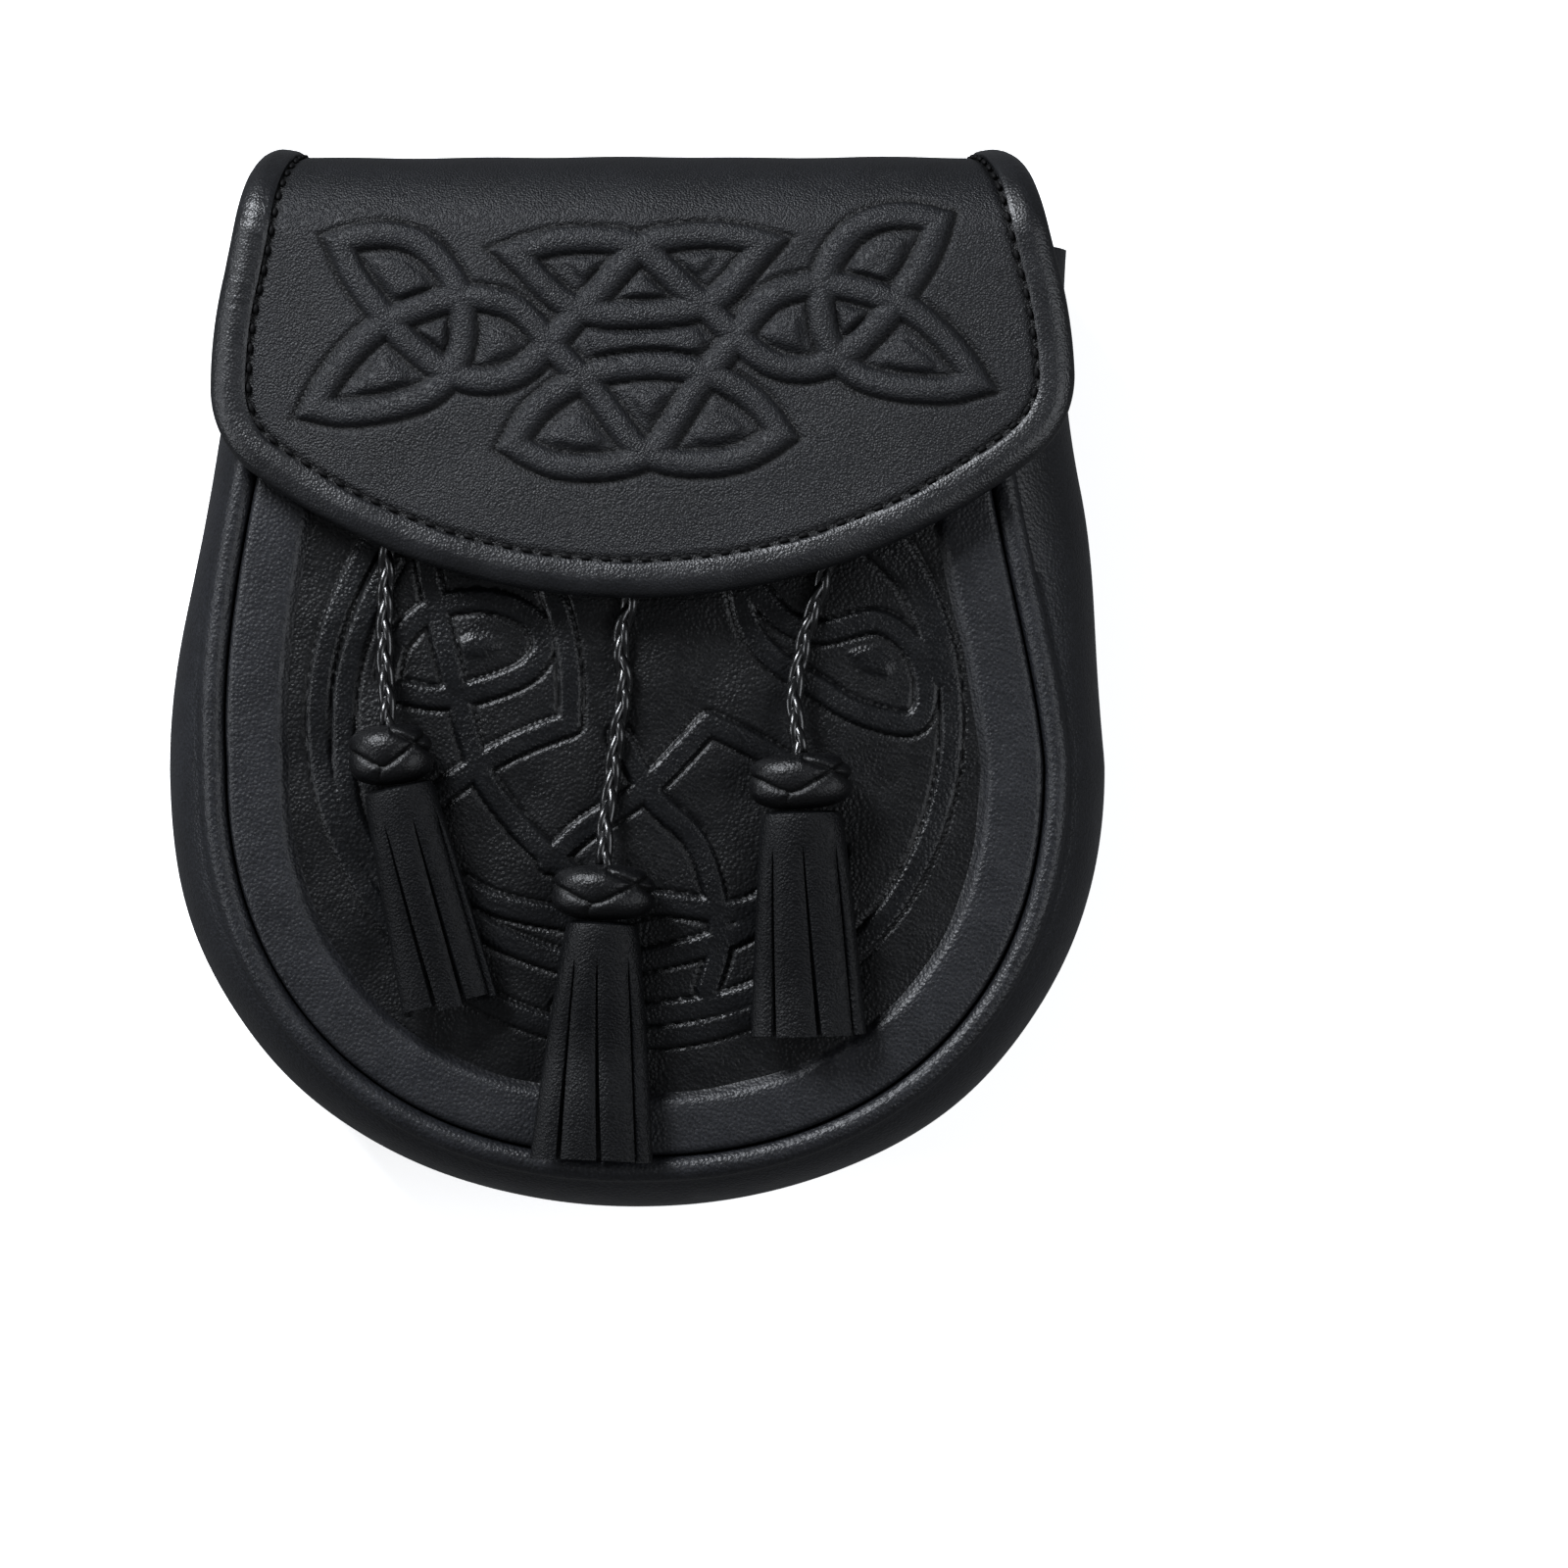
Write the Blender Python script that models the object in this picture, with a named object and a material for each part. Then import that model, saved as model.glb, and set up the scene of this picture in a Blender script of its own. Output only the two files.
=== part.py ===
"""Sporran pouch: a small leather purse with a folding flap and three tassels, lying on its back.

Metres, +Z up. X runs across the pouch, +Y towards the fold at its top, +Z out of its front.
The body is a back panel, a gusset that bulges outwards and a moulded front panel. The flap is
a sheet that starts on the back, folds over the top and covers the upper front, with a rolled
binding round its edge. Three tassels lie on the front, on cords from slots under the flap.
"""

import math

import bmesh
import bpy
import numpy as np

# Body outline: the seam between the gusset and the front panel
SEAM_HALF_WIDTH = 0.0795
SEAM_LOWER_HEIGHT = 0.0763
WAIST_Y = -0.017
LOWER_ROUNDNESS = 2.2
SHOULDER_TAPER = 0.0125
SIDE_LEAN = 0.0023
GUSSET_TOP_Y = 0.0815
FRONT_TOP_Y = 0.074
BACK_TOP_Y = 0.081

# Heights above the surface that the pouch lies on
LOOP_THICKNESS = 0.0022
LOOP_GAP = 0.0050
BODY_DEPTH = 0.0425
FIT = 0.0003

# Leather walls
BACK_THICKNESS = 0.0018
GUSSET_WALL = 0.0016
FRONT_THICKNESS = 0.0020
FLAP_THICKNESS = 0.0020

# Gusset
BULGE_SIDE = 0.0092
BULGE_BOTTOM = 0.0073
BULGE_LEFT_DIP = 0.0028
BULGE_RIGHT_GAIN = 0.0052
LIP_RADIUS = 0.0024
LIP_INSET = 0.0003
BULGE_SPREAD = math.radians(65.0)

# Front panel
RIM_WIDTH = 0.0103
RIM_ROUND = 0.0007
RIM_ROUND_WIDTH = 0.0016
RIM_SINK = 0.0004
RECESS_DEPTH = 0.0018
RECESS_SLOPE = 0.0018
FIELD_DOME = 0.0018
DOME_REACH = 0.0200
MEDALLION_Y = -0.0088
MEDALLION_RADIUS = 0.0595
MEDALLION_BAND = 0.0034
MEDALLION_RISE = 0.0006
MEDALLION_SLOPE = 0.0012
MEDALLION_SHOULDER = 0.0004

# Flap and its binding
FLAP_HALF_WIDTH = 0.0808
FLAP_BOTTOM_Y = 0.0140
FLAP_WIDEST_Y = 0.053
FLAP_SIDE_RADIUS = 0.090
FLAP_BOTTOM_RADIUS = 0.120
FLAP_CORNER_RADIUS = 0.0195
FOLD_Y = 0.082
FOLD_REACH = 0.015
FLAP_REAR_LENGTH = 0.016
FLAP_CLEARANCE = 0.0041
FLAP_SIDE_DROP = 0.003
FLAP_TURN = math.radians(1.2)
FLAP_SHIFT = 0.0015
FLAP_ARC_DROP = 0.0060
FLAP_EDGE_STEP = 0.0040
FLAP_EDGE_MERGE = 0.0010
BINDING_WIDTH = 0.0066
BINDING_HALF_THICKNESS = 0.0026
BINDING_CORE = 0.0020
BINDING_CLEARANCE = 0.0005
BINDING_LIP = 0.0006

# Belt loops on the back
LOOP_WIDTH = 0.028
LOOP_SPACING = 0.096
LOOP_TOP_Y = 0.058
LOOP_BOTTOM_Y = -0.030
LOOP_FOOT = 0.009
LOOP_RAMP = 0.006

# Closure stud under the flap
STUD_Y = 0.042
STUD_RADIUS = 0.006

# Cords, knots and tassels
CORD_DIAMETER = 0.0032
CORD_CLEARANCE = 0.0004
SLOT_CLEARANCE = 0.0005
SLOT_LENGTH = 0.0120
SLOT_OFFSET = 0.0008
KNOT_DEPTH = 0.0126
SKIRT_WALL = 0.0015
SKIRT_NECK_DEPTH = 0.0090
SKIRT_HEM_DEPTH = 0.0070
SKIRT_COLLAR = 0.0035
SKIRT_LIFT = 0.0006
SKIRT_GAP = 0.0008
STRIP_COUNT = 10
SLIT_SHARE = 0.09

# Mesh fineness
SIDE_STEPS = 8
ROUND_STEPS = 26
TOP_STEPS = 6
ARC_STEPS = 8
FLAP_ROWS = 30
FLAP_COLUMNS = 20

# Heights that follow from the sizes above
BACK_Z = LOOP_THICKNESS + LOOP_GAP
RIM_Z = BACK_Z + BODY_DEPTH - RIM_SINK
LIP_CENTRE_Z = BACK_Z + BODY_DEPTH - LIP_RADIUS
PANEL_EDGE = LIP_RADIUS + LIP_INSET + FIT
FLAP_FRONT_Z = BACK_Z + BODY_DEPTH + FLAP_CLEARANCE + BINDING_HALF_THICKNESS
FLAP_REAR_Z = BACK_Z - FIT - BINDING_HALF_THICKNESS
GUSSET_REACH = GUSSET_TOP_Y - WAIST_Y

# Flap's side above the side arc: distance past the fold's start as a share of the fold's
# length, and half-width as a share of the flap's half-width
FLAP_UPPER_SIDE = (
    (0.16, 0.919),
    (0.50, 0.870),
    (1.00, 0.849),
    (1.25, 0.842),
)

# Gusset lip: angle in degrees round the lip's centre
LIP_ANGLES = (25.0, 60.0, 95.0, 130.0, 165.0)

# Tassels: head and foot of each (metres), neck, hem and knot widths, knot height, and the
# route of its cord as (x, y, height above the panel's face), from inside its slot to its knot
TASSELS = {
    "left": {
        "head": (-0.0455, -0.0152), "foot": (-0.0345, -0.0623),
        "neck": 0.0130, "hem": 0.0182, "knot": 0.0160, "knot_height": 0.0112,
        "knot_lean": 5.0,
        "slot": (-0.0460, 0.0350),
        "route": (
            (-0.0460, 0.0420, -0.0055), (-0.0460, 0.0385, -0.0030), (-0.0461, 0.0345, 0.0000),
            (-0.0462, 0.0305, 0.0023), (-0.0463, 0.0255, 0.0023), (-0.0465, 0.0197, 0.0020),
            (-0.0468, 0.0131, 0.0022), (-0.0469, 0.0074, 0.0028), (-0.0467, 0.0008, 0.0043),
            (-0.0462, -0.0040, 0.0059),
        ),
    },
    "centre": {
        "head": (-0.0057, -0.0409), "foot": (-0.0081, -0.0910),
        "neck": 0.0132, "hem": 0.0233, "knot": 0.0196, "knot_height": 0.0103,
        "knot_lean": -1.0,
        "slot": (0.0005, 0.0280),
        "route": (
            (0.0009, 0.0350, -0.0055), (0.0007, 0.0315, -0.0030), (0.0004, 0.0275, 0.0000),
            (0.0001, 0.0235, 0.0023), (-0.0004, 0.0187, 0.0022), (-0.0009, 0.0138, 0.0020),
            (-0.0027, 0.0059, 0.0020), (-0.0020, -0.0023, 0.0020), (-0.0031, -0.0097, 0.0020),
            (-0.0038, -0.0148, 0.0020), (-0.0046, -0.0220, 0.0026), (-0.0054, -0.0270, 0.0044),
            (-0.0056, -0.0310, 0.0060),
        ),
    },
    "right": {
        "head": (0.0310, -0.0201), "foot": (0.0325, -0.0678),
        "neck": 0.0150, "hem": 0.0218, "knot": 0.0196, "knot_height": 0.0105,
        "knot_lean": 3.0,
        "slot": (0.0375, 0.0320),
        "route": (
            (0.0380, 0.0390, -0.0055), (0.0378, 0.0355, -0.0030), (0.0374, 0.0315, 0.0000),
            (0.0369, 0.0275, 0.0023), (0.0361, 0.0222, 0.0022), (0.0349, 0.0164, 0.0020),
            (0.0325, 0.0094, 0.0020), (0.0314, 0.0048, 0.0021), (0.0301, -0.0014, 0.0034),
            (0.0298, -0.0055, 0.0049), (0.0302, -0.0095, 0.0062),
        ),
    },
}

FINISHES = {
    "body_leather": ((0.012, 0.013, 0.015), 0.46),
    "flap_leather": ((0.020, 0.021, 0.023), 0.50),
    "binding_leather": ((0.013, 0.014, 0.016), 0.38),
    "braid_leather": ((0.010, 0.010, 0.011), 0.32),
    "skirt_leather": ((0.011, 0.011, 0.012), 0.60),
    "stud_metal": ((0.30, 0.30, 0.31), 0.35),
}


def smooth(t):
    """A share from 0 to 1 eased at both ends."""
    t = np.clip(t, 0.0, 1.0)
    return t * t * (3.0 - 2.0 * t)


def material(name):
    """The material of a finish, made once."""
    found = bpy.data.materials.get(name)
    if found:
        return found
    made = bpy.data.materials.new(name)
    made.use_nodes = True
    shader = made.node_tree.nodes["Principled BSDF"]
    colour, rough = FINISHES[name]
    shader.inputs["Base Color"].default_value = (*colour, 1.0)
    shader.inputs["Roughness"].default_value = rough
    shader.inputs["Metallic"].default_value = 1.0 if name == "stud_metal" else 0.0
    return made


def add_object(name, mesh, finish):
    """Link a mesh as a named object with its own material."""
    mesh.materials.append(material(finish))
    made = bpy.data.objects.new(name, mesh)
    bpy.context.scene.collection.objects.link(made)
    return made


def shell(name, outer, inner, finish, wrap=False, holes=()):
    """A closed wall between two grids of points, without the cells named in holes."""
    rows, columns = outer.shape[:2]
    count = columns if wrap else columns - 1
    cells = {(i, j) for i in range(rows - 1) for j in range(count)} - set(holes)
    points = np.concatenate([outer.reshape(-1, 3), inner.reshape(-1, 3)])
    faces = []

    def corner(cell, layer):
        return layer * rows * columns + cell[0] * columns + cell[1] % columns

    for i, j in sorted(cells):
        ring = ((i, j), (i, j + 1), (i + 1, j + 1), (i + 1, j))
        beyond = ((i - 1, j), (i, j + 1), (i + 1, j), (i, j - 1))
        faces.append([corner(c, 0) for c in ring])
        faces.append([corner(c, 1) for c in reversed(ring)])
        for k, (row, column) in enumerate(beyond):
            if (row, column % count if wrap else column) in cells:
                continue
            a, b = ring[k], ring[(k + 1) % 4]
            faces.append([corner(b, 0), corner(a, 0), corner(a, 1), corner(b, 1)])
    mesh = bpy.data.meshes.new(name)
    mesh.from_pydata(points.tolist(), [], faces)
    close_up(mesh)
    return add_object(name, mesh, finish)


def close_up(mesh):
    """Merge the points that meet, drop unused ones, face the mesh outwards and shade it smooth."""
    work = bmesh.new()
    work.from_mesh(mesh)
    bmesh.ops.delete(work, geom=[v for v in work.verts if not v.link_faces], context="VERTS")
    bmesh.ops.remove_doubles(work, verts=work.verts, dist=1e-6)
    if work.calc_volume(signed=True) < 0.0:
        bmesh.ops.reverse_faces(work, faces=work.faces)
    work.to_mesh(mesh)
    work.free()
    mesh.shade_smooth()
    mesh.set_sharp_from_angle(angle=math.radians(40.0))


def side_share(y):
    """How far up the side a height lies: 0 at the waist, 1 at the gusset's top."""
    return np.clip((y - WAIST_Y) / GUSSET_REACH, 0.0, 1.2)


def seam_path(top_y):
    """Points of the seam from the top left, round the bottom, to the top right, and outward normals."""
    side_y = np.linspace(top_y, WAIST_Y, SIDE_STEPS + 1)[:-1]
    share = side_share(side_y)
    narrowing = SHOULDER_TAPER * (1.0 - np.cos(math.pi * share ** 0.9)) / 2.0
    lean = -SIDE_LEAN * np.sin(math.pi * np.clip(share, 0.0, 1.0))
    left = np.stack([lean - SEAM_HALF_WIDTH + narrowing, side_y], axis=1)
    right = np.stack([lean + SEAM_HALF_WIDTH - narrowing, side_y], axis=1)[::-1]
    turn = np.linspace(math.pi, 2.0 * math.pi, ROUND_STEPS + 1)
    power = 2.0 / LOWER_ROUNDNESS
    round_x = SEAM_HALF_WIDTH * np.sign(np.cos(turn)) * np.abs(np.cos(turn)) ** power
    round_y = WAIST_Y - SEAM_LOWER_HEIGHT * np.abs(np.sin(turn)) ** power
    points = np.concatenate([left, np.stack([round_x, round_y], axis=1), right])
    along = np.gradient(points, axis=0)
    along /= np.linalg.norm(along, axis=1)[:, None]
    return points, np.stack([along[:, 1], -along[:, 0]], axis=1)


def bulge_at(points, normals):
    """How far the gusset bulges past the seam at each point of its path."""
    share = side_share(points[:, 1])
    base = BULGE_BOTTOM + (BULGE_SIDE - BULGE_BOTTOM) * normals[:, 0] ** 2
    left = base - BULGE_LEFT_DIP * np.sin(math.pi * np.clip(share, 0.0, 1.0))
    right = base + BULGE_RIGHT_GAIN * smooth(share / 0.5)
    return np.where(points[:, 0] < 0.0, left, right)


def gusset_section(bulge):
    """The gusset's outer and inner points as (distance past the seam, height), back to front."""
    turn = np.linspace(-BULGE_SPREAD, BULGE_SPREAD, ARC_STEPS + 1)
    foot = LIP_RADIUS - FIT
    rise = (LIP_CENTRE_Z - BACK_Z) / 2.0
    reach = (np.cos(turn) - math.cos(BULGE_SPREAD)) / (1.0 - math.cos(BULGE_SPREAD))
    arc = np.stack([foot + (bulge - foot) * reach,
                    BACK_Z + rise * (1.0 + np.sin(turn) / math.sin(BULGE_SPREAD))], axis=1)
    along = np.gradient(arc, axis=0)
    along /= np.linalg.norm(along, axis=1)[:, None]
    arc_inner = arc + GUSSET_WALL * np.stack([-along[:, 1], along[:, 0]], axis=1)
    arc_inner[0, 1] = BACK_Z
    turn = np.radians(LIP_ANGLES)
    ring = np.stack([np.cos(turn), np.sin(turn)], axis=1)
    centre = np.array([-LIP_INSET, LIP_CENTRE_Z])
    lip = centre + LIP_RADIUS * ring
    lip_inner = centre + (LIP_RADIUS - GUSSET_WALL) * ring
    return np.concatenate([arc, lip]), np.concatenate([arc_inner, lip_inner])


def make_gusset():
    """The wall between the back and the front, open at the top, with a rolled front lip."""
    points, normals = seam_path(GUSSET_TOP_Y)
    outer, inner = [], []
    for point, normal, bulge in zip(points, normals, bulge_at(points, normals)):
        for layer, section in zip((outer, inner), gusset_section(bulge)):
            place = point + section[:, :1] * normal
            layer.append(np.column_stack([place, section[:, 1]]))
    return shell("gusset", np.array(outer), np.array(inner), "body_leather")


def panel_loop(inset, top_y):
    """A closed loop of points that far inside the seam and under the top edge."""
    points, normals = seam_path(top_y - inset)
    edge = points - inset * normals
    edge[[0, -1], 1] = top_y - inset
    top = np.linspace(edge[-1], edge[0], TOP_STEPS + 1)[1:-1]
    return np.concatenate([edge, top])


def inside_distance(x, y):
    """How far inside the seam a place on the front is."""
    points, _ = seam_path(GUSSET_TOP_Y)
    dense = np.concatenate([np.linspace(a, b, 9)[:-1] for a, b in zip(points[:-1], points[1:])])
    apart = np.hypot(dense[:, 0] - x, dense[:, 1] - y).min()
    return min(apart, FRONT_TOP_Y - y + PANEL_EDGE)


def panel_height(x, y, relief=True):
    """Height of the front panel's face at a place: rim band, recessed field, dome, medallion ring."""
    inside = inside_distance(x, y)
    height = RIM_Z - RIM_ROUND * (1.0 - smooth((inside - PANEL_EDGE) / RIM_ROUND_WIDTH))
    step = smooth((inside - PANEL_EDGE - RIM_WIDTH) / RECESS_SLOPE)
    height -= RECESS_DEPTH * step
    depth = max(inside - PANEL_EDGE - RIM_WIDTH, 0.0)
    height += FIELD_DOME * step * (1.0 - math.exp(-depth / DOME_REACH))
    if relief:
        out = math.hypot(x, y - MEDALLION_Y) - MEDALLION_RADIUS + MEDALLION_BAND / 2.0
        height += MEDALLION_RISE * smooth((MEDALLION_BAND / 2.0 - abs(out)) / MEDALLION_SLOPE + 0.5)
    return height


def make_front_panel():
    """The moulded front: a raised rim band round a recessed field with a raised ring."""
    insets = (PANEL_EDGE, PANEL_EDGE + RIM_ROUND_WIDTH, PANEL_EDGE + RIM_WIDTH / 2.0,
              PANEL_EDGE + RIM_WIDTH, PANEL_EDGE + RIM_WIDTH + RECESS_SLOPE)
    loops = [panel_loop(inset, FRONT_TOP_Y + PANEL_EDGE) for inset in insets]
    centre = np.array([0.0, MEDALLION_Y])
    ring = loops[0] - centre
    ring /= np.linalg.norm(ring, axis=1)[:, None]
    band = MEDALLION_BAND
    for radius in (MEDALLION_SLOPE, -MEDALLION_SHOULDER, MEDALLION_SHOULDER - band,
                   -MEDALLION_SLOPE - band, -0.45 * MEDALLION_RADIUS):
        loops.append(centre + (MEDALLION_RADIUS + radius) * ring)
    loops.append(np.repeat(centre[None], len(ring), axis=0))
    outer, inner = [], []
    for loop in loops:
        outer.append([(x, y, panel_height(x, y)) for x, y in loop])
        inner.append([(x, y, panel_height(x, y, relief=False) - FRONT_THICKNESS) for x, y in loop])
    panel = shell("front_panel", np.array(outer), np.array(inner), "body_leather", wrap=True)
    for name, values in TASSELS.items():
        cut(panel, slot_cutter(f"{name}_slot_cutter", values["slot"]))
    return panel


def slot_cutter(name, place):
    """A round-ended upright bar that cuts the slot a cord comes out of."""
    radius = CORD_DIAMETER / 2.0 + SLOT_CLEARANCE
    straight = SLOT_LENGTH / 2.0 - radius
    turn = np.linspace(0.0, math.pi, 7)
    upper = [(radius * math.cos(t), straight + radius * math.sin(t)) for t in turn]
    outline = upper + [(-x, -y) for x, y in upper]
    centre_x, centre_y = place[0], place[1] + SLOT_OFFSET
    low, high = BACK_Z + BODY_DEPTH / 2.0, BACK_Z + BODY_DEPTH * 1.5
    points = [(centre_x + x, centre_y + y, z) for z in (low, high) for x, y in outline]
    count = len(outline)
    faces = [[k, (k + 1) % count, (k + 1) % count + count, k + count] for k in range(count)]
    faces += [list(reversed(range(count))), list(range(count, 2 * count))]
    mesh = bpy.data.meshes.new(name)
    mesh.from_pydata(points, [], faces)
    cutter = add_object(name, mesh, "body_leather")
    cutter.hide_render = True
    cutter.display_type = "WIRE"
    return cutter


def cut(target, cutter):
    """Cut one object out of another."""
    modifier = target.modifiers.new(cutter.name, "BOOLEAN")
    modifier.operation = "DIFFERENCE"
    modifier.solver = "EXACT"
    modifier.object = cutter


def make_back_panel():
    """The flat back that the flap and the belt loops are sewn to."""
    edge = panel_loop(0.0, BACK_TOP_Y)
    middle = edge.mean(axis=0)
    loops = [middle + share * (edge - middle) for share in (1.0, 0.5, 0.0)]
    flat = np.array(loops)
    high = np.full(flat.shape[:2] + (1,), BACK_Z + BACK_THICKNESS)
    low = np.full(flat.shape[:2] + (1,), BACK_Z)
    outer = np.concatenate([flat, high], axis=2)
    inner = np.concatenate([flat, low], axis=2)
    return shell("back_panel", outer, inner, "body_leather", wrap=True)


def arc_points(centre, radius, start, end, count):
    """Points on an arc between two angles."""
    turn = np.linspace(start, end, count)
    return np.stack([centre[0] + radius * np.cos(turn), centre[1] + radius * np.sin(turn)], axis=1)


def fold_table():
    """Angles round the fold and the length of leather up to each of them."""
    turn = np.linspace(0.0, math.pi, 181)
    half = (FLAP_FRONT_Z - FLAP_REAR_Z) / 2.0
    speed = np.hypot(FOLD_REACH * np.cos(turn), half * np.sin(turn))
    length = np.concatenate([[0.0], np.cumsum((speed[1:] + speed[:-1]) / 2.0 * np.diff(turn))])
    return turn, length


def flap_half_outline():
    """The right half of the flap's edge, laid flat: from the rear corner down to the bottom middle."""
    side_centre = np.array([FLAP_HALF_WIDTH - FLAP_SIDE_RADIUS, FLAP_WIDEST_Y])
    bottom_centre = np.array([0.0, FLAP_BOTTOM_Y + FLAP_BOTTOM_RADIUS])
    a = FLAP_SIDE_RADIUS - FLAP_CORNER_RADIUS
    b = FLAP_BOTTOM_RADIUS - FLAP_CORNER_RADIUS
    between = bottom_centre - side_centre
    apart = np.linalg.norm(between)
    along = (a * a - b * b + apart * apart) / (2.0 * apart)
    across = math.sqrt(a * a - along * along)
    unit = between / apart
    corner = side_centre + along * unit + across * np.array([unit[1], -unit[0]])
    side_angle = math.atan2(*(corner - side_centre)[::-1])
    bottom_angle = math.atan2(*(corner - bottom_centre)[::-1])
    top_angle = math.asin((FOLD_Y - FLAP_ARC_DROP - FLAP_WIDEST_Y) / FLAP_SIDE_RADIUS)
    length = fold_table()[1][-1]
    rows = np.array([(FLAP_HALF_WIDTH * width, FOLD_Y + share * length)
                     for share, width in reversed(FLAP_UPPER_SIDE)])
    rows[0, 1] = FOLD_Y + length + FLAP_REAR_LENGTH
    side = arc_points(side_centre, FLAP_SIDE_RADIUS, top_angle, side_angle, 12)
    upper = curve_through(np.concatenate([rows, side[:2]]), FLAP_EDGE_STEP)
    upper = upper[upper[:, 1] > side[0, 1] + FLAP_EDGE_MERGE]
    round_corner = arc_points(corner, FLAP_CORNER_RADIUS, side_angle, bottom_angle, 16)
    bottom = arc_points(bottom_centre, FLAP_BOTTOM_RADIUS, bottom_angle, -math.pi / 2.0, 24)
    split = len(round_corner) // 2
    sides = np.concatenate([upper, side, round_corner[1:split + 1]])
    return sides, np.concatenate([round_corner[split:-1], bottom])


def curve_through(points, spacing):
    """A smooth curve through points, read off about every spacing metres."""
    points = np.asarray(points, float)
    padded = np.concatenate([[2 * points[0] - points[1]], points, [2 * points[-1] - points[-2]]])
    fine = []
    for p0, p1, p2, p3 in zip(padded[:-3], padded[1:-2], padded[2:-1], padded[3:]):
        for t in np.linspace(0.0, 1.0, 12, endpoint=False):
            fine.append(0.5 * (2 * p1 + (p2 - p0) * t + (2 * p0 - 5 * p1 + 4 * p2 - p3) * t ** 2
                               + (3 * p1 - p0 - 3 * p2 + p3) * t ** 3))
    fine.append(points[-1])
    return evenly(np.array(fine), max(2, round(line_length(fine) / spacing) + 1))


def line_length(points):
    """Length of a line of points."""
    return float(np.linalg.norm(np.diff(np.asarray(points), axis=0), axis=1).sum())


def evenly(points, count):
    """The same line with a number of points the same distance apart."""
    steps = np.linalg.norm(np.diff(points, axis=0), axis=1)
    along = np.concatenate([[0.0], np.cumsum(steps)])
    at = np.linspace(0.0, along[-1], count)
    return np.stack([np.interp(at, along, points[:, k]) for k in range(points.shape[1])], axis=1)


def flap_place(flat, height):
    """Where a point of the flat flap lies, that far out from the middle of the sheet."""
    turn_cos, turn_sin = math.cos(FLAP_TURN), math.sin(FLAP_TURN)
    level = flat - np.array([0.0, FLAP_WIDEST_Y])
    x = level[..., 0] * turn_cos - level[..., 1] * turn_sin + FLAP_SHIFT
    y = level[..., 0] * turn_sin + level[..., 1] * turn_cos + FLAP_WIDEST_Y
    angles, lengths = fold_table()
    past = y - FOLD_Y
    angle = np.interp(past, lengths, angles)
    half = (FLAP_FRONT_Z - FLAP_REAR_Z) / 2.0
    middle = (FLAP_FRONT_Z + FLAP_REAR_Z) / 2.0
    normal_y, normal_z = half * np.sin(angle), FOLD_REACH * np.cos(angle)
    size = np.hypot(normal_y, normal_z)
    straight = np.where(past < 0.0, past, -np.maximum(past - lengths[-1], 0.0))
    place_y = FOLD_Y + straight + FOLD_REACH * np.sin(angle) + height * normal_y / size
    drop = FLAP_SIDE_DROP * (np.abs(x) / FLAP_HALF_WIDTH) ** 3 * (1.0 + np.cos(angle)) / 2.0
    place_z = middle + half * np.cos(angle) - drop + height * normal_z / size
    return np.stack([x, place_y, place_z], axis=-1)


def inset_line(points, distance):
    """A line moved to its right-hand side."""
    along = np.gradient(points, axis=0)
    along /= np.linalg.norm(along, axis=1)[:, None]
    return points + distance * np.stack([along[:, 1], -along[:, 0]], axis=1)


def stations(points, count, tight):
    """The same line as a number of steps, half as long where tight marks a bend."""
    fine = evenly(points, 600)
    steps = np.linalg.norm(np.diff(fine, axis=0), axis=1)
    along = np.concatenate([[0.0], np.cumsum(steps * np.where(tight(fine[1:]), 2.0, 1.0))])
    at = np.linspace(0.0, along[-1], count + 1)
    return np.stack([np.interp(at, along, fine[:, k]) for k in range(2)], axis=1)


def flap_edge():
    """The flat flap's whole free edge, from its right rear corner to its left rear corner."""
    side, half_bottom = flap_half_outline()
    fold_end = FOLD_Y + fold_table()[1][-1]
    near_corner = FLAP_BOTTOM_Y + 0.85 * (FLAP_WIDEST_Y - FLAP_BOTTOM_Y)

    def side_bend(at):
        fold = (at[:, 1] > FOLD_Y - FLAP_THICKNESS) & (at[:, 1] < fold_end + FLAP_THICKNESS)
        return fold | (at[:, 1] < near_corner)

    side = stations(side, FLAP_ROWS, side_bend)
    half_bottom = stations(half_bottom, FLAP_COLUMNS // 2, lambda at: at[:, 0] > 0.75 * FLAP_HALF_WIDTH)
    half = np.concatenate([side, half_bottom[1:]])
    return np.concatenate([half, half[-2::-1] * np.array([-1.0, 1.0])])


def make_flap():
    """The flap: a sheet over the fold, on a grid stretched between its four edges."""
    edge = inset_line(flap_edge(), BINDING_CORE + BINDING_CLEARANCE)
    right = edge[:FLAP_ROWS + 1]
    bottom = edge[FLAP_ROWS:-FLAP_ROWS][::-1]
    left = edge[::-1][:FLAP_ROWS + 1]
    rear = np.linspace(left[0], right[0], FLAP_COLUMNS + 1)
    across = np.linspace(0.0, 1.0, FLAP_COLUMNS + 1)[None, :, None]
    down = np.linspace(0.0, 1.0, FLAP_ROWS + 1)[:, None, None]
    flat = (1 - across) * left[:, None] + across * right[:, None]
    flat = flat + (1 - down) * rear[None] + down * bottom[None]
    flat = flat - (1 - down) * ((1 - across) * left[0] + across * right[0])
    flat = flat - down * ((1 - across) * left[-1] + across * right[-1])
    half = FLAP_THICKNESS / 2.0
    return shell("flap", flap_place(flat, half), flap_place(flat, -half), "flap_leather")


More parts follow.
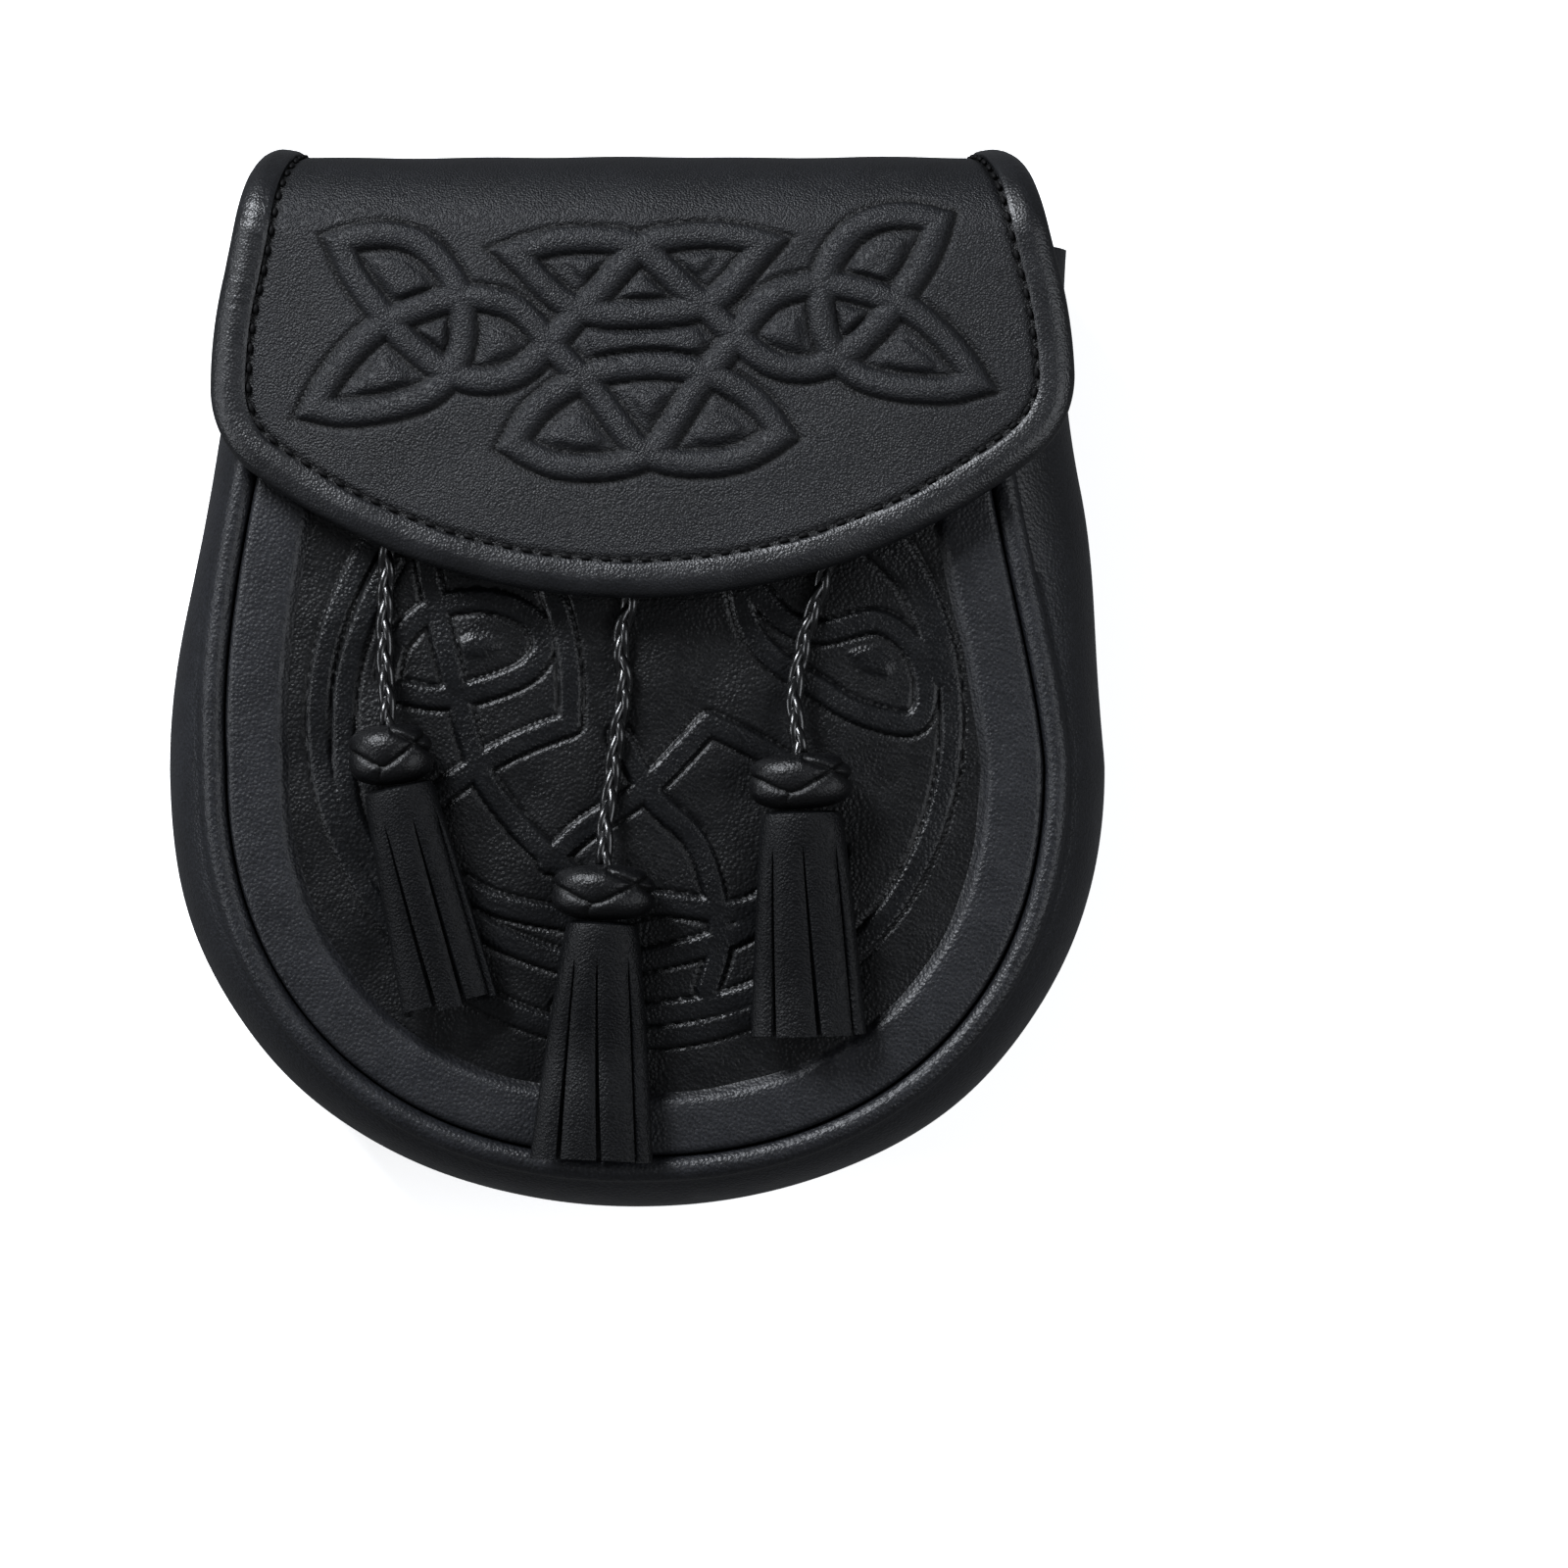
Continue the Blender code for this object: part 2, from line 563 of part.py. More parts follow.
def make_binding():
    """The rolled strip round the flap's free edge: a rounded channel that holds the sheet."""
    edge = flap_edge()
    width, core, half = BINDING_WIDTH, BINDING_CORE, BINDING_HALF_THICKNESS
    gap = FLAP_THICKNESS / 2.0 + BINDING_CLEARANCE
    outside = ((width, gap + BINDING_LIP), (0.45 * width, half), (0.09 * width, 0.55 * half),
               (0.0, 0.0), (0.09 * width, -0.55 * half), (0.45 * width, -half),
               (width, -gap - BINDING_LIP))
    inside = ((width, gap), (0.45 * width, gap), (core, gap), (core, 0.0),
              (core, -gap), (0.45 * width, -gap), (width, -gap))
    outer = np.stack([flap_place(inset_line(edge, i), h) for i, h in outside], axis=1)
    inner = np.stack([flap_place(inset_line(edge, i), h) for i, h in inside], axis=1)
    return shell("flap_binding", outer, inner, "binding_leather")


def make_belt_loop(name, centre_x):
    """A strip sewn to the back at both ends, with a flat web that the pouch rests on."""
    foot = BACK_Z - FIT - LOOP_THICKNESS / 2.0
    web = LOOP_THICKNESS / 2.0
    top, bottom = LOOP_TOP_Y, LOOP_BOTTOM_Y
    ramp = [(top - LOOP_FOOT - LOOP_RAMP * t, foot + (web - foot) * float(smooth(t)))
            for t in (0.0, 0.25, 0.5, 0.75, 1.0)]
    lower = [(top + bottom - y, z) for y, z in reversed(ramp)]
    line = np.array([(top, foot)] + ramp + lower + [(bottom, foot)])
    along = np.gradient(line, axis=0)
    along /= np.linalg.norm(along, axis=1)[:, None]
    normal = np.stack([along[:, 1], -along[:, 0]], axis=1)
    layers = []
    for offset in (LOOP_THICKNESS / 2.0, -LOOP_THICKNESS / 2.0):
        moved = line + offset * normal
        sides = [np.column_stack([np.full(len(line), centre_x + s * LOOP_WIDTH / 2.0), moved])
                 for s in (-1.0, 1.0)]
        layers.append(np.stack(sides, axis=1))
    return shell(name, layers[0], layers[1], "body_leather")


def make_closure_stud():
    """The plain stud under the flap that holds it to the front."""
    turn = np.linspace(0.0, 2.0 * math.pi, 17)[:-1]
    low = panel_height(0.0, STUD_Y) + FIT
    high = FLAP_FRONT_Z - FLAP_THICKNESS / 2.0 - FIT

    def disc(radius, height):
        return np.stack([radius * np.cos(turn), STUD_Y + radius * np.sin(turn),
                         np.full(len(turn), height)], axis=1)

    outer = np.array([disc(0.0, high), disc(STUD_RADIUS, high)])
    inner = np.array([disc(0.0, low), disc(0.8 * STUD_RADIUS, low)])
    return shell("closure_stud", outer, inner, "stud_metal", wrap=True)


def knot_frame(values):
    """The knot's middle and the unit direction of its hole, both with a height."""
    head = np.array(values["head"])
    lean = math.radians(values["knot_lean"])
    axis = np.array([math.sin(lean), -math.cos(lean)])
    across = np.array([-axis[1], axis[0]])
    rest = resting_height(head, across, 0.3 * values["knot"])
    middle = np.array([*head, rest + CORD_CLEARANCE + KNOT_DEPTH / 2.0])
    return middle, np.array([*axis, 0.0])


def make_cord(name, values):
    """A cord along a smooth curve through its route, over the front panel and into its knot."""
    route = [(x, y, panel_height(x, y, relief=False) + above) for x, y, above in values["route"]]
    middle, axis = knot_frame(values)
    half = values["knot_height"] / 2.0
    route += [middle - (half + share * half) * axis for share in (0.4, -0.3, -1.3)]
    line = curve_through(route, 2.3 * CORD_DIAMETER)
    curve = bpy.data.curves.new(name, "CURVE")
    curve.dimensions = "3D"
    curve.bevel_depth = CORD_DIAMETER / 2.0
    curve.bevel_resolution = 2
    curve.use_fill_caps = True
    spline = curve.splines.new("POLY")
    spline.points.add(len(line) - 1)
    for point, place in zip(spline.points, line):
        point.co = (*place, 1.0)
    curve.materials.append(material("braid_leather"))
    made = bpy.data.objects.new(name, curve)
    bpy.context.scene.collection.objects.link(made)
    return made


def tassel_frame(values):
    """The tassel's head, its unit direction towards the foot and the unit direction across it."""
    head, foot = np.array(values["head"]), np.array(values["foot"])
    along = foot - head
    length = float(np.linalg.norm(along))
    along = along / length
    return head, along, np.array([-along[1], along[0]]), length


def resting_height(centre, across, half_width):
    """The highest point of the front panel under a row of a tassel."""
    places = [centre + share * half_width * across for share in (-1.0, -0.5, 0.0, 0.5, 1.0)]
    return max(panel_height(x, y) for x, y in places)


def make_knot(name, values):
    """The woven knot round the top of a tassel: a flattened bead with a hole for the cord."""
    middle, axis = knot_frame(values)
    across = np.array([-axis[1], axis[0], 0.0])
    up = np.array([0.0, 0.0, 1.0])
    hole = CORD_DIAMETER / 2.0 + CORD_CLEARANCE
    turn = np.linspace(0.0, 2.0 * math.pi, 17)[:-1, None]
    outer, inner = [], []
    for share in (-1.0, -0.8, -0.3, 0.3, 0.8, 1.0):
        bulk = math.sqrt(1.0 - (0.92 * share) ** 2)
        centre = middle + share * values["knot_height"] / 2.0 * axis
        for layer, wide, deep in ((outer, bulk * values["knot"] / 2.0, bulk * KNOT_DEPTH / 2.0),
                                  (inner, hole, hole)):
            layer.append(centre + np.cos(turn) * wide * across + np.sin(turn) * deep * up)
    return shell(name, np.array(outer), np.array(inner), "braid_leather", wrap=True)


def make_tassel(name, values):
    """A skirt of leather strips, slit from just below its closed top to its hem."""
    head, along, across, length = tassel_frame(values)
    start = values["knot_height"] / 2.0 + SKIRT_GAP
    top_height = knot_frame(values)[0][2]
    shares = (0.0, 0.0, 0.02, SKIRT_COLLAR / (length - start), 0.3, 0.53, 0.76, 1.0)
    pitch = 2.0 * math.pi / STRIP_COUNT
    turn = np.concatenate([(k * pitch, (k + 1.0 - SLIT_SHARE) * pitch) for k in range(STRIP_COUNT)])
    outer, inner = [], []
    for row, share in enumerate(shares):
        size = 0.0 if row == 0 else 0.8 if row == 1 else 1.0
        width = values["neck"] + (values["hem"] - values["neck"]) * share ** 0.8
        depth = SKIRT_NECK_DEPTH + (SKIRT_HEM_DEPTH - SKIRT_NECK_DEPTH) * share
        centre = head + (start + share * (length - start)) * along
        rest = resting_height(centre, across, width / 2.0) + SKIRT_LIFT + depth / 2.0
        middle = top_height + (rest - top_height) * float(smooth(share / 0.75))
        middle = max(middle, rest)
        for layer, wall in ((outer, 0.0), (inner, SKIRT_WALL)):
            wide = size * (width / 2.0 - wall)
            deep = size * (depth / 2.0 - wall)
            sunk = SKIRT_WALL if wall and row < 3 else 0.0
            place = centre + sunk * along + np.cos(turn)[:, None] * wide * across
            layer.append(np.column_stack([place, middle + np.sin(turn) * deep]))
    slits = {(row, 2 * k + 1) for row in range(3, len(shares) - 1) for k in range(STRIP_COUNT)}
    return shell(name, np.array(outer), np.array(inner), "skirt_leather", wrap=True, holes=slits)


def centre_on_origin(resting):
    """Move everything so that the origin is under the middle of the pouch, on its lowest level."""
    corners = np.array([v.co[:] for piece in resting for v in piece.data.vertices])
    low, high = corners.min(axis=0), corners.max(axis=0)
    stand = bpy.data.objects.new("pouch_stand", None)
    bpy.context.scene.collection.objects.link(stand)
    stand.location = (-(low[0] + high[0]) / 2.0, -(low[1] + high[1]) / 2.0, -low[2])
    for piece in bpy.context.scene.objects:
        if piece is not stand:
            piece.parent = stand


def main():
    """Build every piece of the pouch."""
    for old in list(bpy.data.objects):
        bpy.data.objects.remove(old, do_unlink=True)
    resting = [make_back_panel(), make_gusset(), make_flap(), make_binding()]
    make_front_panel()
    make_closure_stud()
    for side, sign in (("left", -1.0), ("right", 1.0)):
        resting.append(make_belt_loop(f"{side}_belt_loop", sign * LOOP_SPACING / 2.0))
    for side, values in TASSELS.items():
        make_cord(f"{side}_cord", values)
        make_knot(f"{side}_knot", values)
        make_tassel(f"{side}_tassel", values)
    centre_on_origin(resting)


main()
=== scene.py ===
"""The looks of the sporran pouch: its leather, ornament, stitching, braid and tassels.

Everything is in metres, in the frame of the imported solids. Sizes that repeat the solids' own
sizes carry the same meaning as there, so each piece lies where its solid lies.
"""

import logging
import math
from dataclasses import dataclass
from enum import Enum

import bmesh
import bpy
import numpy as np
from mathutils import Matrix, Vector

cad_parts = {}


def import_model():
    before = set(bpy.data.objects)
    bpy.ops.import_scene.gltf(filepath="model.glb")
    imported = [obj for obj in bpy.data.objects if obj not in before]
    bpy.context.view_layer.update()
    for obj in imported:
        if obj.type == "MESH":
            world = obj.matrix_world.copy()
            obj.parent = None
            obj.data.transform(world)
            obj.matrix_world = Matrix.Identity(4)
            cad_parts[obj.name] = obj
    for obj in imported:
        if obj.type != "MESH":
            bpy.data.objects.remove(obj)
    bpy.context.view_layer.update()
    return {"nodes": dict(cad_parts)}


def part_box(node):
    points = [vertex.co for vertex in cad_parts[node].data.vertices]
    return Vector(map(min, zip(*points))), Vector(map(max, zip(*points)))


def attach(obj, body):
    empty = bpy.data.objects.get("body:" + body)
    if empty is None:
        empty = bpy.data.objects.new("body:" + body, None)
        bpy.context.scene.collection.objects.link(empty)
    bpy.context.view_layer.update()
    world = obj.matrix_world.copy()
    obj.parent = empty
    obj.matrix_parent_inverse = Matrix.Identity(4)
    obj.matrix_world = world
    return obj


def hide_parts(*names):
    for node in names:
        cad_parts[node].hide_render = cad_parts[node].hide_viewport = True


LOG = logging.getLogger("sporran")
ROOT = "root"
MM = 0.001
WELD_DISTANCE = 2e-6

# The photograph is taken as 1600 by 1600 pixels, square to the front of the pouch.
PHOTO_PIXELS = 1600
MM_PER_PIXEL = 0.1835
PIXEL_OF_X0 = 648.0
PIXEL_OF_Y0 = 687.3


class Slot(Enum):
    """The record's material slots."""

    BODY = "body_leather"
    FLAP = "flap_leather"
    BINDING = "binding_leather"
    BRAID = "braid_leather"
    SKIRT = "skirt_leather"


def ease(share: np.ndarray) -> np.ndarray:
    """Ease a share from 0 to 1 at both ends.

    Args:
        share: numbers, clipped to the range from 0 to 1.

    Returns:
        The eased numbers.
    """
    share = np.clip(share, 0.0, 1.0)
    return share * share * (3.0 - 2.0 * share)


def from_photo(pixels: tuple) -> np.ndarray:
    """Turn points read off the photograph into metres in the design's own plane.

    Args:
        pixels: (x, y) pairs in photograph pixels.

    Returns:
        One row of (x, y) in metres for each point.
    """
    points = np.asarray(pixels, float)
    flat = np.stack([points[:, 0] - PIXEL_OF_X0, PIXEL_OF_Y0 - points[:, 1]], axis=1)
    return flat * MM_PER_PIXEL * MM


def line_length(points: np.ndarray) -> float:
    """Return the length of a line of points."""
    return float(np.linalg.norm(np.diff(np.asarray(points), axis=0), axis=1).sum())


def run_along(points: np.ndarray) -> np.ndarray:
    """Return how far along a line each of its points is."""
    return np.concatenate([[0.0], np.cumsum(np.linalg.norm(np.diff(points, axis=0), axis=1))])


def headings(points: np.ndarray) -> np.ndarray:
    """Return the direction in which a line runs at each of its points."""
    along = np.gradient(points, axis=0)
    return along / np.linalg.norm(along, axis=1)[:, None]


def right_of(along: np.ndarray) -> np.ndarray:
    """Return the directions to the right of flat directions."""
    return np.stack([along[:, 1], -along[:, 0]], axis=1)


def grid_faces(number: np.ndarray) -> np.ndarray:
    """Return the four-sided faces between the neighbours in a grid of point numbers."""
    a, b, c, d = number[:-1, :-1], number[:-1, 1:], number[1:, 1:], number[1:, :-1]
    return np.stack([a, b, c, d], axis=-1).reshape(-1, 4)


def evenly(points: np.ndarray, count: int) -> np.ndarray:
    """Return the same line as a number of points the same distance apart."""
    along = run_along(points)
    at = np.linspace(0.0, along[-1], count)
    return np.stack([np.interp(at, along, points[:, k]) for k in range(points.shape[1])], axis=1)


def curve_through(points: np.ndarray, spacing: float, closed: bool = False) -> np.ndarray:
    """Draw a smooth curve through points.

    Args:
        points: the points that it goes through, in order.
        spacing: about how far apart the returned points are, in metres.
        closed: whether the curve comes back to its start.

    Returns:
        Points on the curve, evenly spaced.
    """
    points = np.asarray(points, float)
    if closed:
        padded = np.concatenate([points[-1:], points, points[:2]])
    else:
        padded = np.concatenate([[2 * points[0] - points[1]], points,
                                 [2 * points[-1] - points[-2]]])
    t = np.linspace(0.0, 1.0, 16, endpoint=False)[:, None]
    fine = []
    for p0, p1, p2, p3 in zip(padded[:-3], padded[1:-2], padded[2:-1], padded[3:]):
        fine.append(0.5 * (2 * p1 + (p2 - p0) * t + (2 * p0 - 5 * p1 + 4 * p2 - p3) * t ** 2
                           + (3 * p1 - p0 - 3 * p2 + p3) * t ** 3))
    fine.append(points[:1] if closed else points[-1:])
    fine = np.concatenate(fine)
    return evenly(fine, max(2, round(line_length(fine) / spacing) + 1))


def closed_straight(line: np.ndarray) -> np.ndarray:
    """Close an open outline with a straight row of points from its end to its start."""
    return np.concatenate([line, np.linspace(line[-1], line[0], 41)[1:-1]])


def inset_line(points: np.ndarray, distance: float) -> np.ndarray:
    """Move a flat line to its right-hand side by a distance in metres."""
    return points + distance * right_of(headings(points))


def nearest_on_line(places: np.ndarray, line: np.ndarray) -> tuple[np.ndarray, np.ndarray]:
    """Find how far each place is from a line, and where on the line it is nearest.

    Args:
        places: one row of (x, y) for each place.
        line: the points of the line.

    Returns:
        The distances, and the distances along the line, in metres.
    """
    steps = np.diff(line, axis=0)
    lengths = np.linalg.norm(steps, axis=1)
    along = np.concatenate([[0.0], np.cumsum(lengths)])[:-1]
    units = steps / lengths[:, None]
    near = np.empty(len(places))
    where = np.empty(len(places))
    for start in range(0, len(places), 4000):
        block = places[start:start + 4000, None] - line[None, :-1]
        share = np.clip((block * units[None]).sum(axis=2), 0.0, lengths[None])
        gap = block - share[..., None] * units[None]
        apart = np.hypot(gap[..., 0], gap[..., 1])
        pick = apart.argmin(axis=1)
        rows = np.arange(len(pick))
        near[start:start + 4000] = apart[rows, pick]
        where[start:start + 4000] = along[pick] + share[rows, pick]
    return near, where


def value_noise(places: np.ndarray, size: float, seed: int) -> np.ndarray:
    """Give smooth noise from -1 to 1 at each place, the same in each run.

    Args:
        places: rows of coordinates in metres.
        size: how far apart its bumps are, in metres.
        seed: which noise it is.

    Returns:
        One number for each place.
    """
    draw = np.random.default_rng(seed)
    total = np.zeros(len(places))
    for _ in range(7):
        heading = draw.normal(size=places.shape[1])
        heading /= np.linalg.norm(heading)
        turn = 2.0 * math.pi * draw.uniform(0.6, 1.5) / size
        total += np.sin(places @ heading * turn + draw.uniform(0.0, 2.0 * math.pi))
    return total / 7.0 ** 0.5 / 1.4


def wall(outer: np.ndarray, inner: np.ndarray, wrap: bool = False) -> tuple[np.ndarray, list]:
    """Make a closed wall between two grids of points.

    Args:
        outer: grid of points of the outer face.
        inner: grid of points of the inner face, as large.
        wrap: whether the last column joins the first.

    Returns:
        The points, and the faces as rows of point numbers.
    """
    rows, columns = outer.shape[:2]
    number = np.arange(rows * columns).reshape(rows, columns)
    if wrap:
        number = np.concatenate([number, number[:, :1]], axis=1)
    layer = rows * columns
    front = grid_faces(number)
    faces = [front, front[:, ::-1] + layer]
    edges = [(number[0, :-1], number[0, 1:]), (number[-1, 1:], number[-1, :-1])]
    if not wrap:
        edges += [(number[1:, 0], number[:-1, 0]), (number[:-1, -1], number[1:, -1])]
    for start, end in edges:
        faces.append(np.stack([end, start, start + layer, end + layer], axis=-1))
    points = np.concatenate([outer.reshape(-1, 3), inner.reshape(-1, 3)])
    return points, np.concatenate(faces).tolist()


def frames_along(line: np.ndarray) -> tuple[np.ndarray, np.ndarray]:
    """Return the level direction across a line in space, and the one square to both."""
    along = headings(line)
    side = np.cross(along, np.array([0.0, 0.0, 1.0]))
    side /= np.linalg.norm(side, axis=1)[:, None]
    return side, np.cross(side, along)


def tube(line: np.ndarray, radius: float, sides: int) -> tuple[np.ndarray, list]:
    """Make a closed tube along a line, with a point at each end.

    Args:
        line: the points that it follows.
        radius: its half-width.
        sides: how many faces go round it.

    Returns:
        The points and the faces.
    """
    side, rise = frames_along(line)
    turn = np.linspace(0.0, 2.0 * math.pi, sides, endpoint=False)
    rings = (line[:, None] + np.cos(turn)[None, :, None] * side[:, None] * radius
             + np.sin(turn)[None, :, None] * rise[:, None] * radius)
    count = len(line)
    number = np.arange(count * sides).reshape(count, sides)
    number = np.concatenate([number, number[:, :1]], axis=1)
    faces = grid_faces(number).tolist()
    first, last = count * sides, count * sides + 1
    faces += [[first, int(number[0, k + 1]), int(number[0, k])] for k in range(sides)]
    faces += [[last, int(number[-1, k]), int(number[-1, k + 1])] for k in range(sides)]
    points = np.concatenate([rings.reshape(-1, 3), line[:1], line[-1:]])
    return points, faces


def joined(parts: list) -> tuple[np.ndarray, list]:
    """Put several (points, faces) pairs into one."""
    points, faces, start = [], [], 0
    for some_points, some_faces in parts:
        points.append(some_points)
        faces += [[start + k for k in face] for face in some_faces]
        start += len(some_points)
    return np.concatenate(points), faces


@dataclass
class Workshop:
    """Makes finished pieces out of points and faces in the design's own frame.

    Attributes:
        shift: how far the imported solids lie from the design's own frame, in metres.
    """

    shift: np.ndarray

    def piece(self, name: str, points: np.ndarray, faces: list, finish: bpy.types.Material,
              relief: np.ndarray | None = None, sharp: float = 50.0) -> bpy.types.Object:
        """Make an object from points and faces, facing outwards and shaded smooth.

        Args:
            name: the piece's name.
            points: its points in the design's frame, in metres.
            faces: rows of point numbers.
            finish: its material.
            relief: a number for each point that the finish reads, from -1 in grooves to 1 on top,
                to paint shade into grooves and highlight onto tops.
            sharp: the angle past which an edge is sharp, in degrees.

        Returns:
            The object.
        """
        mesh = bpy.data.meshes.new(name)
        mesh.from_pydata((points + self.shift).tolist(), [], faces)
        if relief is not None:
            layer = mesh.attributes.new("relief", "FLOAT", "POINT")
            layer.data.foreach_set("value", np.asarray(relief, np.float32))
        work = bmesh.new()
        work.from_mesh(mesh)
        bmesh.ops.remove_doubles(work, verts=work.verts, dist=WELD_DISTANCE)
        loose = [v for v in work.verts if not v.link_faces]
        bmesh.ops.delete(work, geom=loose, context="VERTS")
        bmesh.ops.recalc_face_normals(work, faces=work.faces)
        if work.calc_volume(signed=True) < 0.0:
            bmesh.ops.reverse_faces(work, faces=work.faces)
        work.to_mesh(mesh)
        work.free()
        mesh.shade_smooth()
        mesh.set_sharp_from_angle(angle=math.radians(sharp))
        mesh.materials.append(finish)
        made = bpy.data.objects.new(name, mesh)
        bpy.context.scene.collection.objects.link(made)
        LOG.info("%s: %d faces", name, len(mesh.polygons))
        return made

    def wear(self, made: bpy.types.Object, slot: Slot, *nodes: str) -> bpy.types.Object:
        """Let a piece ride on the pouch in place of its solids.

        Args:
            made: the piece.
            slot: the record's slot; it is not used.
            *nodes: the solids that it stands for.

        Returns:
            The same piece.
        """
        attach(made, ROOT)
        if nodes:
            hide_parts(*nodes)
        return made


class NodeBench:
    """Puts shader nodes into one material."""

    def __init__(self, name: str) -> None:
        """Start an empty material of that name."""
        self.material = bpy.data.materials.new(name)
        self.material.use_nodes = True
        self.tree = self.material.node_tree
        self.tree.nodes.clear()
        self.out = self.tree.nodes.new("ShaderNodeOutputMaterial")
        self.shader = self.tree.nodes.new("ShaderNodeBsdfPrincipled")
        self.link(self.shader.outputs["BSDF"], self.out.inputs["Surface"])
        self.place = self.tree.nodes.new("ShaderNodeTexCoord").outputs["Object"]

    def link(self, start: bpy.types.NodeSocket, end: bpy.types.NodeSocket) -> None:
        """Join two sockets."""
        self.tree.links.new(start, end)

    def noise(self, size: float, detail: float = 3.0, rough: float = 0.5,
              place: bpy.types.NodeSocket | None = None) -> bpy.types.NodeSocket:
        """Add noise whose bumps are about that size in metres, and return its number."""
        node = self.tree.nodes.new("ShaderNodeTexNoise")
        node.inputs["Scale"].default_value = 1.0 / size
        node.inputs["Detail"].default_value = detail
        node.inputs["Roughness"].default_value = rough
        self.link(place or self.place, node.inputs["Vector"])
        return node.outputs["Fac"]

    def cells(self, size: float) -> bpy.types.NodeSocket:
        """Add cells of about that size in metres, and return the distance in them."""
        node = self.tree.nodes.new("ShaderNodeTexVoronoi")
        node.inputs["Scale"].default_value = 1.0 / size
        self.link(self.place, node.inputs["Vector"])
        return node.outputs["Distance"]

    def attribute(self, name: str) -> bpy.types.NodeSocket:
        """Read a number that the mesh carries at each point."""
        node = self.tree.nodes.new("ShaderNodeAttribute")
        node.attribute_name = name
        return node.outputs["Fac"]

    def remap(self, value: bpy.types.NodeSocket, low: float, high: float, to_low: float,
              to_high: float) -> bpy.types.NodeSocket:
        """Stretch a number from one range to another, without going past it."""
        node = self.tree.nodes.new("ShaderNodeMapRange")
        node.inputs["From Min"].default_value = low
        node.inputs["From Max"].default_value = high
        node.inputs["To Min"].default_value = to_low
        node.inputs["To Max"].default_value = to_high
        self.link(value, node.inputs["Value"])
        return node.outputs["Result"]

    def maths(self, kind: str, first: bpy.types.NodeSocket,
              second: bpy.types.NodeSocket | float) -> bpy.types.NodeSocket:
        """Do one sum on two numbers."""
        node = self.tree.nodes.new("ShaderNodeMath")
        node.operation = kind
        self.link(first, node.inputs[0])
        if isinstance(second, float):
            node.inputs[1].default_value = second
        else:
            self.link(second, node.inputs[1])
        return node.outputs["Value"]

    def blend(self, share: bpy.types.NodeSocket, low: tuple, high: tuple) -> bpy.types.NodeSocket:
        """Mix two colours by a number from 0 to 1."""
        node = self.tree.nodes.new("ShaderNodeMix")
        node.data_type = "RGBA"
        node.inputs["A"].default_value = (*low, 1.0)
        node.inputs["B"].default_value = (*high, 1.0)
        self.link(share, node.inputs["Factor"])
        return node.outputs["Result"]

    def bump(self, height: bpy.types.NodeSocket, depth: float, strength: float,
             below: bpy.types.NodeSocket | None = None) -> bpy.types.NodeSocket:
        """Add a bump of that depth in metres, on top of another one if given."""
        node = self.tree.nodes.new("ShaderNodeBump")
        node.inputs["Distance"].default_value = depth
        node.inputs["Strength"].default_value = strength
        self.link(height, node.inputs["Height"])
        if below is not None:
            self.link(below, node.inputs["Normal"])
        return node.outputs["Normal"]


